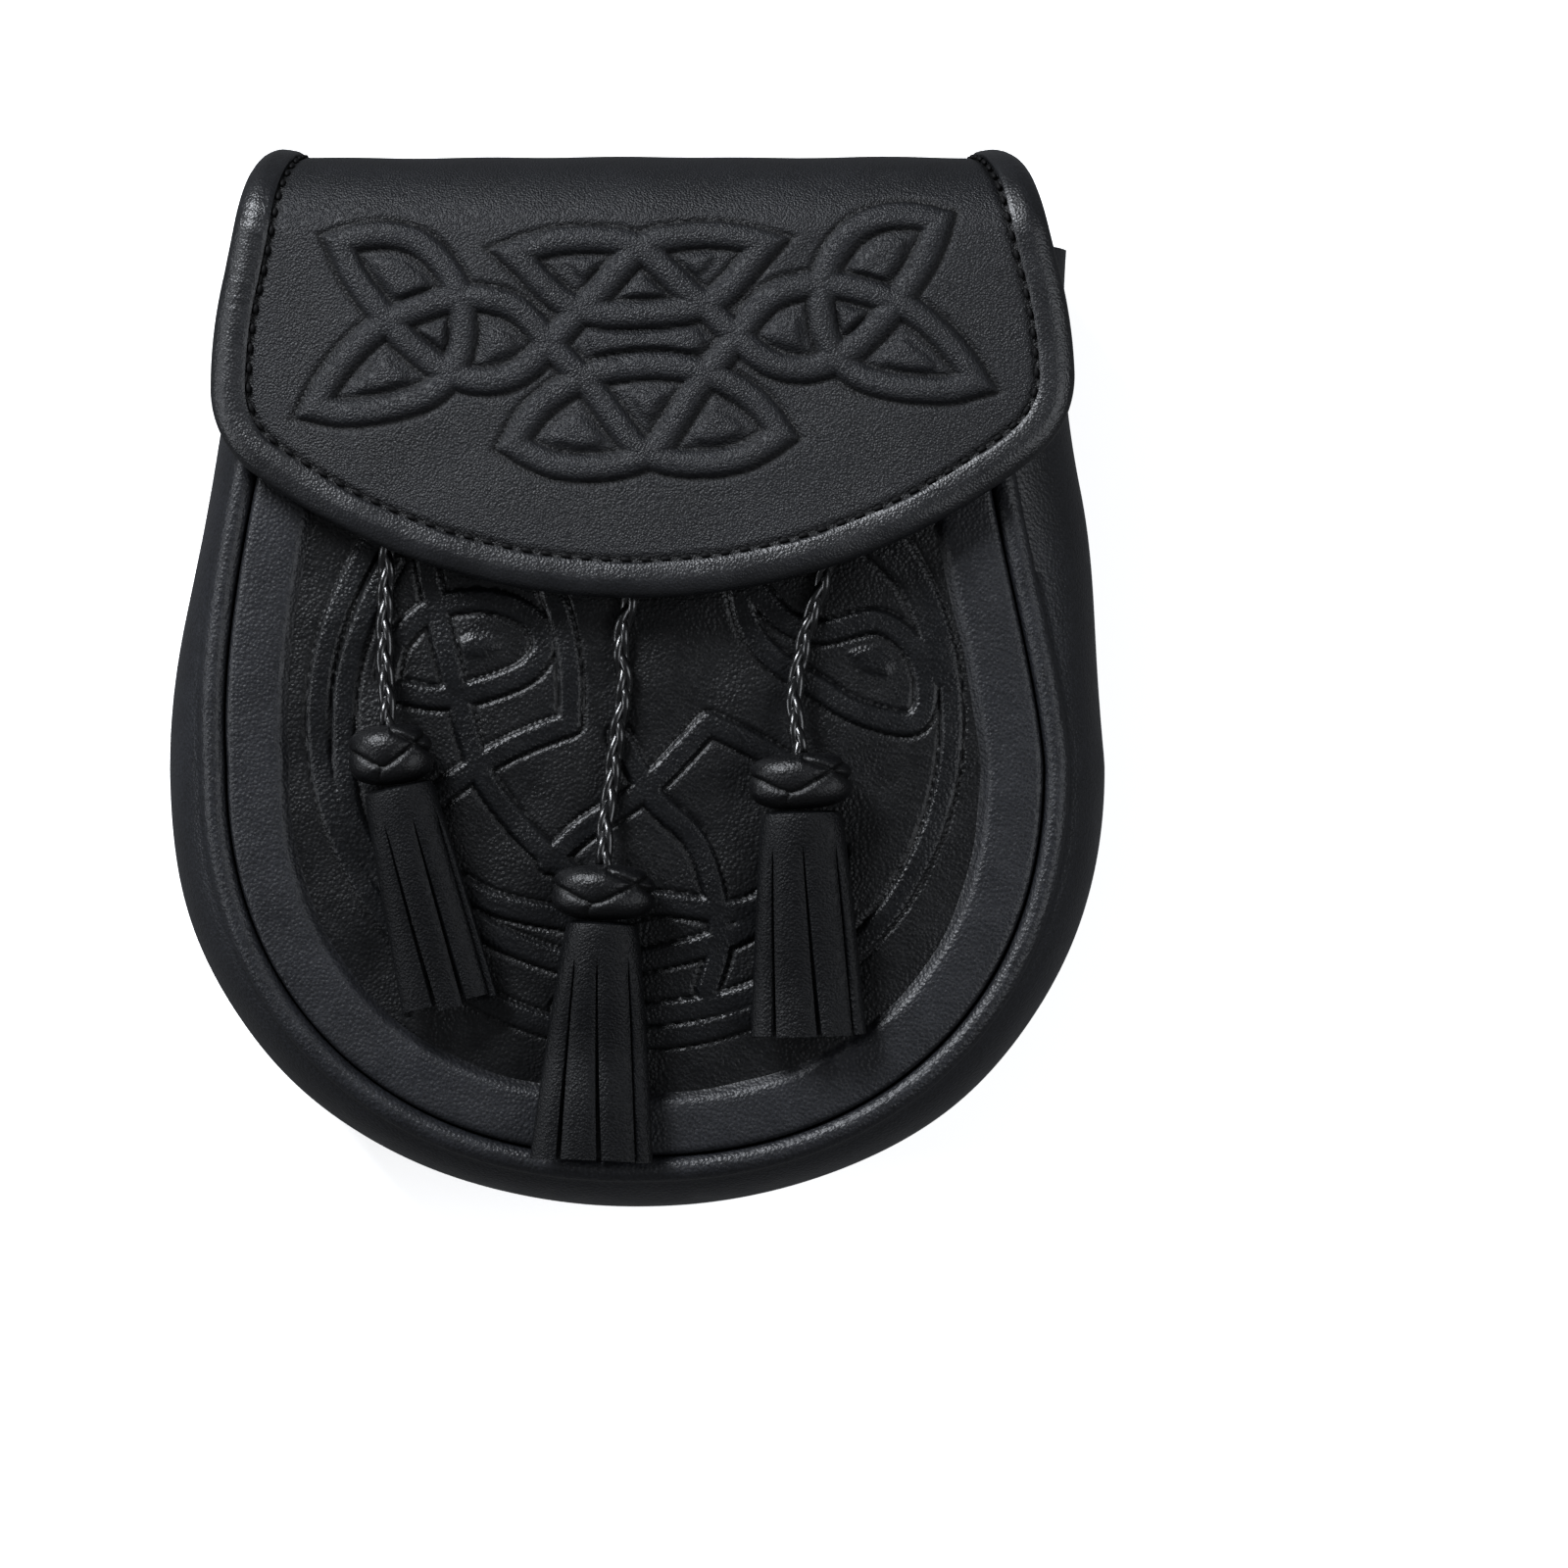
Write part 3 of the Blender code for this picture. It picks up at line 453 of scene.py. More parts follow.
@dataclass(frozen=True)
class Leather:
    """A black leather finish with pebbled grain.

    Attributes:
        name: the material's name.
        colour: its colour, linear.
        rough: its middle roughness.
        grain: the size of the pebbles, in metres.
        depth: the depth of the pebbles, in metres.
        strength: how strongly the pebbles show, from 0 to 1.
        coat: how much polish it has.
        gloss: how much light it mirrors.
        painted_groove_shade: how much painted shade darkens its grooves, as a share of its
            colour.
        painted_crown_highlight: how much painted highlight lightens its crests, as a share of its
            colour.
        fleck: how much its pores darken it and its pebbles lighten it.
        coat_rough: the roughness of its polish.
        shade_size: the size of its lighter and darker places, in metres.
        patch_size: the size of its smoother and rougher places, in metres.
        swell_size: the size of its soft unevenness, in metres.
        swell_depth: the depth of its soft unevenness, in metres.
        swell_strength: how strongly that shows, from 0 to 1.
    """

    name: str
    colour: tuple[float, float, float]
    rough: float = 0.46
    grain: float = 0.0007
    depth: float = 0.00012
    strength: float = 0.65
    coat: float = 0.0
    gloss: float = 0.35
    # The finish paints shade into grooves and highlight onto crests by these shares.
    painted_groove_shade: float = 0.55
    painted_crown_highlight: float = 0.25
    fleck: float = 0.55
    coat_rough: float = 0.25
    shade_size: float = 0.012
    patch_size: float = 0.006
    swell_size: float = 0.005
    swell_depth: float = 0.0005
    swell_strength: float = 0.12

    def make(self) -> bpy.types.Material:
        """Build the material."""
        bench = NodeBench(self.name)
        shader = bench.shader
        shade = bench.remap(bench.noise(self.shade_size, 4.0), 0.3, 0.7, 0.0, 1.0)
        low = tuple(0.80 * c for c in self.colour)
        high = tuple(1.20 * c for c in self.colour)
        colour = bench.blend(shade, low, high)
        relief = bench.attribute("relief")
        # Painted shade in the grooves and painted highlight on the crests, read from the relief.
        groove = bench.remap(relief, -1.0, 0.0, 1.0 - self.painted_groove_shade, 1.0)
        crown = bench.remap(relief, 0.0, 1.0, 1.0, 1.0 + self.painted_crown_highlight)
        fleck = bench.remap(bench.noise(self.grain * 0.8, 3.0, 0.7), 0.35, 0.65,
                            1.0 - self.fleck, 1.0 + self.fleck)
        # The colour carries painted shade and painted highlight, and the grain's own flecks.
        painted_shade_highlight_and_fleck = bench.maths("MULTIPLY", bench.maths("MULTIPLY", groove, crown), fleck)
        scale = bench.tree.nodes.new("ShaderNodeVectorMath")
        scale.operation = "SCALE"
        bench.link(colour, scale.inputs[0])
        bench.link(painted_shade_highlight_and_fleck, scale.inputs["Scale"])
        bench.link(scale.outputs["Vector"], shader.inputs["Base Color"])
        patch = bench.remap(bench.noise(self.patch_size, 5.0, 0.6), 0.3, 0.7,
                            self.rough - 0.05, self.rough + 0.06)
        polish = bench.remap(relief, -1.0, 1.0, 0.06, -0.06)
        bench.link(bench.maths("ADD", patch, polish), shader.inputs["Roughness"])
        pebbles = bench.remap(bench.cells(self.grain), 0.0, 0.75, 1.0, 0.0)
        pores = bench.noise(self.grain * 0.45, 2.0, 0.5)
        grain = bench.maths("ADD", pebbles, bench.maths("MULTIPLY", pores, 0.6))
        broad = bench.bump(bench.noise(self.swell_size, 2.0), self.swell_depth,
                           self.swell_strength)
        bench.link(bench.bump(grain, self.depth, self.strength, broad), shader.inputs["Normal"])
        shader.inputs["Specular IOR Level"].default_value = self.gloss
        shader.inputs["Coat Weight"].default_value = self.coat
        shader.inputs["Coat Roughness"].default_value = self.coat_rough
        return bench.material


@dataclass(frozen=True)
class Thread:
    """A waxed black sewing thread."""

    name: str = "waxed_thread"
    colour: tuple[float, float, float] = (0.0012, 0.0012, 0.0015)
    rough: float = 0.55
    twist: float = 0.0005

    def make(self) -> bpy.types.Material:
        """Build the material."""
        bench = NodeBench(self.name)
        fibres = bench.noise(self.twist, 2.0)
        low = tuple(0.7 * c for c in self.colour)
        high = tuple(1.5 * c for c in self.colour)
        bench.link(bench.blend(fibres, low, high), bench.shader.inputs["Base Color"])
        bench.link(bench.remap(fibres, 0.0, 1.0, self.rough, self.rough + 0.2),
                   bench.shader.inputs["Roughness"])
        bench.link(bench.bump(fibres, 0.00005, 0.6), bench.shader.inputs["Normal"])
        bench.shader.inputs["Specular IOR Level"].default_value = 0.15
        return bench.material


@dataclass(frozen=True)
class BrushedMetal:
    """A plain dull nickel."""

    name: str = "dull_nickel"
    colour: tuple[float, float, float] = (0.42, 0.42, 0.41)
    rough: float = 0.32

    def make(self) -> bpy.types.Material:
        """Build the material."""
        bench = NodeBench(self.name)
        marks = bench.noise(0.0006, 4.0)
        low = tuple(0.8 * c for c in self.colour)
        bench.link(bench.blend(marks, low, self.colour), bench.shader.inputs["Base Color"])
        bench.link(bench.remap(marks, 0.3, 0.7, self.rough, self.rough + 0.15),
                   bench.shader.inputs["Roughness"])
        bench.shader.inputs["Metallic"].default_value = 1.0
        return bench.material


@dataclass(frozen=True)
class PalePaper:
    """The pale top of a light table."""

    name: str = "pale_floor"
    colour: tuple[float, float, float] = (0.93, 0.93, 0.93)
    glow: float = 0.70

    def make(self) -> bpy.types.Material:
        """Build the material."""
        bench = NodeBench(self.name)
        fibres = bench.noise(0.03, 2.0)
        low = tuple(0.985 * c for c in self.colour)
        bench.link(bench.blend(fibres, low, self.colour), bench.shader.inputs["Base Color"])
        bench.shader.inputs["Roughness"].default_value = 0.9
        bench.shader.inputs["Specular IOR Level"].default_value = 0.1
        bench.shader.inputs["Emission Color"].default_value = (1.0, 1.0, 1.0, 1.0)
        bench.shader.inputs["Emission Strength"].default_value = self.glow
        return bench.material


@dataclass(frozen=True)
class Finishes:
    """Every finish of the pouch, made once."""

    body: bpy.types.Material
    front: bpy.types.Material
    flap: bpy.types.Material
    binding: bpy.types.Material
    braid: bpy.types.Material
    knot: bpy.types.Material
    skirt: bpy.types.Material
    back: bpy.types.Material
    thread: bpy.types.Material
    stud: bpy.types.Material

    @classmethod
    def mixed(cls) -> "Finishes":
        """Make them all."""
        # painted_groove_shade and painted_crown_highlight set how much shade is painted into
        # grooves and highlight onto crests.
        return cls(
            body=Leather("body_grain", (0.0082, 0.0088, 0.0108), rough=0.42, gloss=0.40,
                         strength=0.8).make(),
            front=Leather("front_grain", (0.0018, 0.0020, 0.0024), rough=0.38, gloss=0.30,
                          strength=0.8, painted_crown_highlight=0.6).make(),
            flap=Leather("flap_grain", (0.0054, 0.0058, 0.0071), rough=0.45, grain=0.00042,
                         depth=0.00016, strength=1.0, gloss=0.32, painted_groove_shade=0.75).make(),
            binding=Leather("binding_grain", (0.0052, 0.0056, 0.0067), rough=0.36, grain=0.0005,
                            strength=0.6, gloss=0.50).make(),
            braid=Leather("braid_leather_polished", (0.0015, 0.0016, 0.0019), rough=0.24,
                          grain=0.0005, strength=0.15, coat=0.5, gloss=0.5).make(),
            knot=Leather("knot_leather_polished", (0.0018, 0.0019, 0.0023), rough=0.44,
                         grain=0.0006, strength=0.6, gloss=0.28).make(),
            skirt=Leather("skirt_leather_matte", (0.0018, 0.0020, 0.0025), rough=0.46,
                          grain=0.0005, strength=0.8, gloss=0.18).make(),
            back=Leather("back_grain", (0.0060, 0.0064, 0.0078), rough=0.52).make(),
            thread=Thread().make(),
            stud=BrushedMetal().make(),
        )


@dataclass
class Studio:
    """A pale floor, soft light and a camera square to the front of the pouch.

    Attributes:
        shift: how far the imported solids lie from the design's own frame, in metres.
        front_height: the height of the pouch's front above the floor, in metres.
        lens: the camera's lens in millimetres, on a sensor of sensor_width.
        sensor_width: the sensor's width in millimetres.
        far_clip: how far the camera sees, in metres.
        floor_half: half the floor's side, in metres.
        tint: the cool colour of the lamps and of the room, linear.
        room_strength: how bright the room is.
    """

    shift: np.ndarray
    front_height: float = 0.0500
    lens: float = 200.0
    sensor_width: float = 36.0
    far_clip: float = 20.0
    floor_half: float = 3.0
    tint: tuple[float, float, float] = (0.92, 0.95, 1.0)
    room_strength: float = 0.14

    def camera(self) -> bpy.types.Object:
        """Set the camera over the middle of the photograph's frame."""
        middle = from_photo(((PHOTO_PIXELS / 2.0, PHOTO_PIXELS / 2.0),))[0]
        frame_width = PHOTO_PIXELS * MM_PER_PIXEL * MM
        data = bpy.data.cameras.new("front_camera")
        data.lens = self.lens
        data.sensor_width = self.sensor_width
        data.clip_end = self.far_clip
        made = bpy.data.objects.new("front_camera", data)
        distance = frame_width * self.lens / self.sensor_width
        made.location = (middle[0] + self.shift[0], middle[1] + self.shift[1],
                         self.front_height + distance)
        bpy.context.scene.collection.objects.link(made)
        bpy.context.scene.camera = made
        return made

    def floor(self) -> bpy.types.Object:
        """Lay the floor. The leather doesn't mirror its glow, and isn't lit by it."""
        half = self.floor_half
        mesh = bpy.data.meshes.new("pale_floor")
        mesh.from_pydata([(-half, -half, 0.0), (half, -half, 0.0), (half, half, 0.0),
                          (-half, half, 0.0)], [], [(0, 1, 2, 3)])
        mesh.materials.append(PalePaper().make())
        made = bpy.data.objects.new("pale_floor", mesh)
        bpy.context.scene.collection.objects.link(made)
        made.visible_diffuse = False
        made.visible_glossy = False
        return made

    def lamp(self, name: str, place: tuple, size: float, power: float) -> bpy.types.Object:
        """Hang a square soft lamp that faces the pouch.

        Args:
            name: its name.
            place: where it hangs, in metres.
            size: its side, in metres.
            power: its power in watts.

        Returns:
            The lamp.
        """
        data = bpy.data.lights.new(name, "AREA")
        data.shape = "SQUARE"
        data.size = size
        data.energy = power
        data.color = self.tint
        made = bpy.data.objects.new(name, data)
        made.location = place
        aim = -np.asarray(place, float)
        made.rotation_euler = (math.atan2(math.hypot(aim[0], aim[1]), -aim[2]), 0.0,
                               math.atan2(aim[0], -aim[1]) + math.pi)
        bpy.context.scene.collection.objects.link(made)
        return made

    def light(self) -> None:
        """Light the pouch softly, mostly from above and the upper left."""
        self.lamp("key_softbox", (-0.60, 0.85, 0.80), 0.45, 28.0)
        self.lamp("side_softbox", (-1.0, -0.1, 0.50), 0.4, 3.0)
        self.lamp("fill_softbox", (0.95, -0.1, 0.85), 0.8, 6.0)
        world = bpy.data.worlds.new("studio_world")
        world.use_nodes = True
        ground = world.node_tree.nodes["Background"]
        ground.inputs["Color"].default_value = (*self.tint, 1.0)
        ground.inputs["Strength"].default_value = self.room_strength
        bpy.context.scene.world = world
        bpy.context.scene.view_settings.view_transform = "Standard"


@dataclass
class PouchBody:
    """The back, the bulging gusset and the moulded front, with the belt loops on the back.

    Attributes:
        shop: makes the pieces.
        finishes: the materials.
    """

    shop: Workshop
    finishes: Finishes
    seam_half_width: float = 0.0795
    seam_lower_height: float = 0.0763
    waist_y: float = -0.017
    lower_roundness: float = 2.2
    shoulder_taper: float = 0.0125
    side_lean: float = 0.0023
    gusset_top_y: float = 0.0815
    front_top_y: float = 0.074
    back_top_y: float = 0.081
    back_z: float = 0.0072
    body_depth: float = 0.0425
    fit: float = 0.0003
    back_thickness: float = 0.0018
    gusset_wall: float = 0.0016
    bulge_side: float = 0.0092
    bulge_bottom: float = 0.0073
    bulge_left_dip: float = 0.0028
    bulge_right_gain: float = 0.0052
    bulge_turn: float = 65.0
    bulge_share: float = 0.68
    dent_size: float = 0.05
    dent_depth: float = 0.00025
    lip_radius: float = 0.0024
    lip_inset: float = 0.0003
    lip_start: float = 18.0
    lip_end: float = 175.0
    rim_width: float = 0.0103
    rim_drop: float = 0.0004
    rim_thickness: float = 0.0032
    recess_depth: float = 0.0018
    recess_slope: float = 0.0018
    field_dome: float = 0.0018
    dome_reach: float = 0.02
    loop_thickness: float = 0.0022
    loop_width: float = 0.028
    loop_spacing: float = 0.096
    loop_top_y: float = 0.058
    loop_bottom_y: float = -0.030
    loop_seat: float = 0.009
    loop_ramp: float = 0.006

    @property
    def panel_edge(self) -> float:
        """How far inside the seam the front panel's edge lies."""
        return self.lip_radius + self.lip_inset + self.fit

    @property
    def rim_z(self) -> float:
        """The height of the rim band's face."""
        return self.back_z + self.body_depth - self.rim_drop

    def side_share(self, y: np.ndarray) -> np.ndarray:
        """How far up the side a height lies: 0 at the waist, 1 at the gusset's top."""
        return np.clip((y - self.waist_y) / (self.gusset_top_y - self.waist_y), 0.0, 1.2)

    def seam(self, top_y: float, steps: int = 40) -> tuple[np.ndarray, np.ndarray]:
        """Draw the seam from the top left, round the bottom, to the top right.

        Args:
            top_y: where it starts and ends.
            steps: how many steps each side has.

        Returns:
            Its points and its outward normals.
        """
        side_y = np.linspace(top_y, self.waist_y, steps + 1)[:-1]
        share = self.side_share(side_y)
        narrowing = self.shoulder_taper * (1.0 - np.cos(math.pi * share ** 0.9)) / 2.0
        lean = -self.side_lean * np.sin(math.pi * np.clip(share, 0.0, 1.0))
        left = np.stack([lean - self.seam_half_width + narrowing, side_y], axis=1)
        right = np.stack([lean + self.seam_half_width - narrowing, side_y], axis=1)[::-1]
        turn = np.linspace(math.pi, 2.0 * math.pi, 3 * steps + 1)
        power = 2.0 / self.lower_roundness
        cosine, sine = np.cos(turn), np.abs(np.sin(turn))
        round_x = self.seam_half_width * np.sign(cosine) * np.abs(cosine) ** power
        round_y = self.waist_y - self.seam_lower_height * sine ** power
        points = np.concatenate([left, np.stack([round_x, round_y], axis=1), right])
        points = evenly(points, len(points))
        return points, right_of(headings(points))

    def bulge(self, points: np.ndarray, normals: np.ndarray) -> np.ndarray:
        """How far the gusset bulges past the seam at each point of its path."""
        share = self.side_share(points[:, 1])
        base = self.bulge_bottom + (self.bulge_side - self.bulge_bottom) * normals[:, 0] ** 2
        left = base - self.bulge_left_dip * np.sin(math.pi * np.clip(share, 0.0, 1.0))
        right = base + self.bulge_right_gain * ease(share / 0.5)
        return np.where(points[:, 0] < 0.0, left, right)

    def gusset_section(self, bulge: float) -> tuple[np.ndarray, np.ndarray]:
        """The gusset's outer and inner points as (distance past the seam, height)."""
        spread = math.radians(self.bulge_turn)
        turn = np.linspace(-spread, spread, 29)
        foot = self.lip_radius - self.fit
        lip_z = self.back_z + self.body_depth - self.lip_radius
        rise = (lip_z - self.back_z) / 2.0
        reach = (np.cos(turn) - math.cos(spread)) / (1.0 - math.cos(spread))
        arc = np.stack([foot + (bulge - foot) * reach,
                        self.back_z + rise * (1.0 + np.sin(turn) / math.sin(spread))], axis=1)
        inner = arc - self.gusset_wall * right_of(headings(arc))
        inner[0, 1] = self.back_z
        turn = np.radians(np.linspace(self.lip_start, self.lip_end, 13))
        ring = np.stack([np.cos(turn), np.sin(turn)], axis=1)
        centre = np.array([-self.lip_inset, lip_z])
        lip = centre + self.lip_radius * ring
        lip_inner = centre + (self.lip_radius - self.gusset_wall) * ring
        return np.concatenate([arc, lip]), np.concatenate([inner, lip_inner])

    def make_gusset(self) -> bpy.types.Object:
        """Make the gusset, with shallow creases in its bulge and a rolled front lip."""
        points, normals = self.seam(self.gusset_top_y, 60)
        outer, inner = [], []
        for point, normal, bulge in zip(points, normals, self.bulge(points, normals)):
            for layer, section in zip((outer, inner), self.gusset_section(bulge)):
                layer.append(np.column_stack([point + section[:, :1] * normal, section[:, 1]]))
        outer, inner = np.array(outer), np.array(inner)
        away = np.repeat(normals[:, None], outer.shape[1], axis=1)
        share = np.linspace(0.0, 1.0, outer.shape[1])[None]
        dent = value_noise(outer.reshape(-1, 3), self.dent_size, 11).reshape(outer.shape[:2])
        along_bulge = np.clip(share / self.bulge_share, 0.0, 1.0)
        swell = self.dent_depth * dent * np.sin(math.pi * along_bulge)
        outer[..., :2] += swell[..., None] * away
        inner[..., :2] += swell[..., None] * away
        made = self.shop.piece("gusset_leather", *wall(outer, inner), self.finishes.body)
        return self.shop.wear(made, Slot.BODY, "gusset")

    def inside(self, places: np.ndarray) -> np.ndarray:
        """How far inside the seam each place on the front is."""
        near, _ = nearest_on_line(places, self.seam(self.gusset_top_y)[0])
        return np.minimum(near, self.front_top_y - places[:, 1] + self.panel_edge)

    def within(self, places: np.ndarray) -> np.ndarray:
        """Whether each place on the front lies within the seam."""
        line, _ = self.seam(self.gusset_top_y)
        _, where = nearest_on_line(places, line)
        at = run_along(line)
        spot = np.stack([np.interp(where, at, line[:, k]) for k in range(2)], axis=1)
        middle = np.array([0.0, self.waist_y])
        return np.linalg.norm(places - middle, axis=1) < np.linalg.norm(spot - middle, axis=1)

    def field_height(self, places: np.ndarray) -> np.ndarray:
        """The height of the recessed field, without its ornament."""
        depth = np.maximum(self.inside(places) - self.panel_edge - self.rim_width, 0.0)
        dome = self.field_dome * (1.0 - np.exp(-depth / self.dome_reach))
        return self.rim_z - self.recess_depth + dome

    def make_rim(self) -> bpy.types.Object:
        """Make the raised rim band round the front, down to the recessed field."""
        insets = np.array([0.0, 0.0003, 0.0008, 0.0016, 0.0040, 0.0070, 0.0090, 0.0097,
                           0.0103, 0.0108, 0.0113, 0.0118, 0.0124, 0.0134])
        drops = np.array([0.0012, 0.0004, 0.0001, 0.0, 0.0, 0.0, 0.0, 0.0001,
                          0.0004, 0.0009, 0.0014, 0.0018, 0.0021, 0.0022])
        outer, inner = [], []
        for inset, drop in zip(insets + self.panel_edge, drops):
            points, normals = self.seam(self.front_top_y + self.panel_edge - inset, 60)
            edge = points - inset * normals
            edge[[0, -1], 1] = self.front_top_y + self.panel_edge - inset
            loop = closed_straight(edge)
            places = np.column_stack([loop, np.full(len(loop), self.rim_z - drop)])
            outer.append(places)
            inner.append(places * np.array([1.0, 1.0, 0.0])
                         + np.array([0.0, 0.0, self.rim_z - self.rim_thickness]))
        # The relief paints shade down the step into the field and on the rounded outer edge.
        relief = np.concatenate([np.repeat(-drops / drops[-1], len(outer[0])),
                                 np.zeros(len(insets) * len(outer[0]))])
        made = self.shop.piece("front_rim", *wall(np.array(outer), np.array(inner), True),
                               self.finishes.body, relief=relief)
        return self.shop.wear(made, Slot.BODY, "front_panel")

    def make_back(self) -> bpy.types.Object:
        """Make the flat back with a stitched-down edge."""
        edge = closed_straight(self.seam(self.back_top_y, 60)[0])
        middle = edge.mean(axis=0)
        outer, inner = [], []
        low, high = self.back_z, self.back_z + self.back_thickness
        rounding = ((1.0, 0.0006), (0.997, 0.0002), (0.99, 0.0))
        furrow = ((0.955, 0.0), (0.945, 0.0003), (0.935, 0.0))
        for share, lift in (*rounding, *furrow, (0.6, 0.0), (0.0, 0.0)):
            flat = middle + share * (edge - middle)
            outer.append(np.column_stack([flat, np.full(len(flat), low + lift)]))
            inner.append(np.column_stack([flat, np.full(len(flat), high)]))
        made = self.shop.piece("back_leather", *wall(np.array(outer), np.array(inner), True),
                               self.finishes.back)
        return self.shop.wear(made, Slot.BODY, "back_panel")

    def make_loop(self, side: str, centre_x: float) -> bpy.types.Object:
        """Make one belt loop: a strip with rounded edges, sewn down at both ends."""
        foot = self.back_z - self.fit - self.loop_thickness / 2.0
        web = self.loop_thickness / 2.0
        share = np.linspace(0.0, 1.0, 13)
        ramp = np.column_stack([self.loop_top_y - self.loop_seat - self.loop_ramp * share,
                                foot + (web - foot) * ease(share)])
        lower = ramp[::-1].copy()
        lower[:, 0] = self.loop_top_y + self.loop_bottom_y - lower[:, 0]
        line = np.concatenate([[(self.loop_top_y, foot)], ramp, lower,
                               [(self.loop_bottom_y, foot)]])
        normal = right_of(headings(line))
        half, thick = self.loop_width / 2.0, self.loop_thickness / 2.0
        across = np.array([-1.0, -0.985, -0.96, -0.5, 0.0, 0.5, 0.96, 0.985, 1.0])
        edge = np.array([0.35, 0.75, 1.0, 1.0, 1.0, 1.0, 1.0, 0.75, 0.35])
        layers = []
        for sign in (1.0, -1.0):
            moved = line[:, None] + sign * thick * edge[None, :, None] * normal[:, None]
            x = np.broadcast_to(centre_x + half * across, moved.shape[:2])
            layers.append(np.concatenate([x[..., None], moved], axis=2))
        made = self.shop.piece(f"{side}_loop_leather", *wall(layers[0], layers[1]),
                               self.finishes.back)
        return self.shop.wear(made, Slot.BODY, f"{side}_belt_loop")

    def build(self) -> None:
        """Make every piece of the body but the ornamented field."""
        self.make_gusset()
        self.make_rim()
        self.make_back()
        self.make_loop("left", -self.loop_spacing / 2.0)
        self.make_loop("right", self.loop_spacing / 2.0)


class Interlace:
    """Raised bands that run into each other, and raised pads between them.

    Every place gets a height above the leather, and a number from -1 in a groove to 1 on a crest;
    the finish paints shade and highlight from that number.
    """

    LINE_STEP = 0.0006
    TIP_LENGTH = 0.006
    PAD_MARGIN = 0.002
    PAD_LAP = 0.0003
    PAD_SLOPE = 0.0014
    PAD_RISE = 0.9
    PAD_TONE = 0.7
    CROWN_POWER = 0.85
    DIP_SHIFT = 0.4
    DIP_REACH = 2.2

    def __init__(self, half_width: float, rise: float, groove: float, spread: float,
                 squareness: float) -> None:
        """Set the bands' half-width, rise, groove depth and groove spread, in metres.

        The squareness is about 2 for round bands and more for flat ones.
        """
        self.half_width = half_width
        self.rise = rise
        self.groove = groove
        self.spread = spread
        self.squareness = squareness
        self.strands: list[np.ndarray] = []
        self.open_ends: list[tuple[bool, bool]] = []
        self.pads: list[np.ndarray] = []

    def strand(self, points: np.ndarray, tips: tuple[bool, bool] = (False, False),
               closed: bool = False) -> None:
        """Add a band along a smooth curve; a tip runs on straight, to be mitred.

        Args:
            points: the points that its middle goes through.
            tips: whether its start and its end are mitred tips.
            closed: whether it is a ring.
        """
        line = curve_through(points, self.LINE_STEP, closed)
        if tips[0]:
            unit = (line[0] - line[2]) / np.linalg.norm(line[0] - line[2])
            line = np.concatenate([[line[0] + self.TIP_LENGTH * unit], line])
        if tips[1]:
            unit = (line[-1] - line[-3]) / np.linalg.norm(line[-1] - line[-3])
            line = np.concatenate([line, [line[-1] + self.TIP_LENGTH * unit]])
        self.strands.append(line)
        self.open_ends.append(tips)

    def pad_height(self, places: np.ndarray) -> tuple[np.ndarray, np.ndarray]:
        """The height and tone that the pads give each place."""
        height = np.zeros(len(places))
        tone = np.zeros(len(places))
        for pad in self.pads:
            loop = np.concatenate([pad, pad[:1]])
            low, high = pad.min(axis=0) - self.PAD_MARGIN, pad.max(axis=0) + self.PAD_MARGIN
            pick = np.flatnonzero(((places > low) & (places < high)).all(axis=1))
            if not len(pick):
                continue
            spots = places[pick]
            near, _ = nearest_on_line(spots, loop)
            sides = [nearest_on_line(spots, loop[k:k + 2])[0] for k in range(len(pad))]
            soft = sum(1.0 / np.maximum(side, 1e-6) ** 2 for side in sides) ** -0.5
            a, b = loop[:-1][None], loop[1:][None]
            spans = (a[..., 1] > spots[:, 1:]) != (b[..., 1] > spots[:, 1:])
            rise = np.where(spans, b[..., 1] - a[..., 1], 1.0)
            cross = a[..., 0] + (b[..., 0] - a[..., 0]) * (spots[:, 1:] - a[..., 1]) / rise
            within = (spans & (cross > spots[:, :1])).sum(axis=1) % 2 == 1
            swell = ease((np.where(within, soft, -near) + self.PAD_LAP) / self.PAD_SLOPE)
            height[pick] += self.PAD_RISE * self.rise * swell
            # The tone paints highlight onto the raised pads.
            tone[pick] += self.PAD_TONE * swell
        return height, tone

    def measure(self, places: np.ndarray) -> tuple[np.ndarray, np.ndarray]:
        """Give every place its height in metres and its tone.

        Args:
            places: one row of (x, y) for each place.

        Returns:
            The heights and the tones.
        """
        height, tone = self.pad_height(places)
        reach = self.half_width + self.DIP_REACH * self.spread
        far, past = [], []
        for line, tips in zip(self.strands, self.open_ends):
            near, where = nearest_on_line(places, line)
            far.append(near)
            past.append((tips[0] & (where < self.TIP_LENGTH))
                        | (tips[1] & (where > line_length(line) - self.TIP_LENGTH)))
        apart = np.full(len(places), 1.0)
        for i, near in enumerate(far):
            other = np.full(len(places), 1.0)
            for j, also in enumerate(far):
                if j != i:
                    other = np.minimum(other, also)
            apart = np.minimum(apart, np.where(past[i], np.maximum(near, other), near))
        on = apart < reach
        share = np.clip(apart / self.half_width, 0.0, 1.0)
        crown = self.rise * (1.0 - share ** self.squareness) ** self.CROWN_POWER
        centre = self.DIP_SHIFT * self.spread
        dip = np.exp(-((apart - self.half_width - centre) / self.spread) ** 2)
        blend = ease((apart - self.half_width) / (self.DIP_REACH * self.spread))
        height = np.where(on, crown - self.groove * dip + blend * height, height)
        # The tone paints highlight along the crests and shade in the grooves beside them.
        tone = np.where(on, (1.0 - share ** self.squareness) - dip + blend * tone, tone)
        return height, np.clip(tone, -1.0, 1.0)


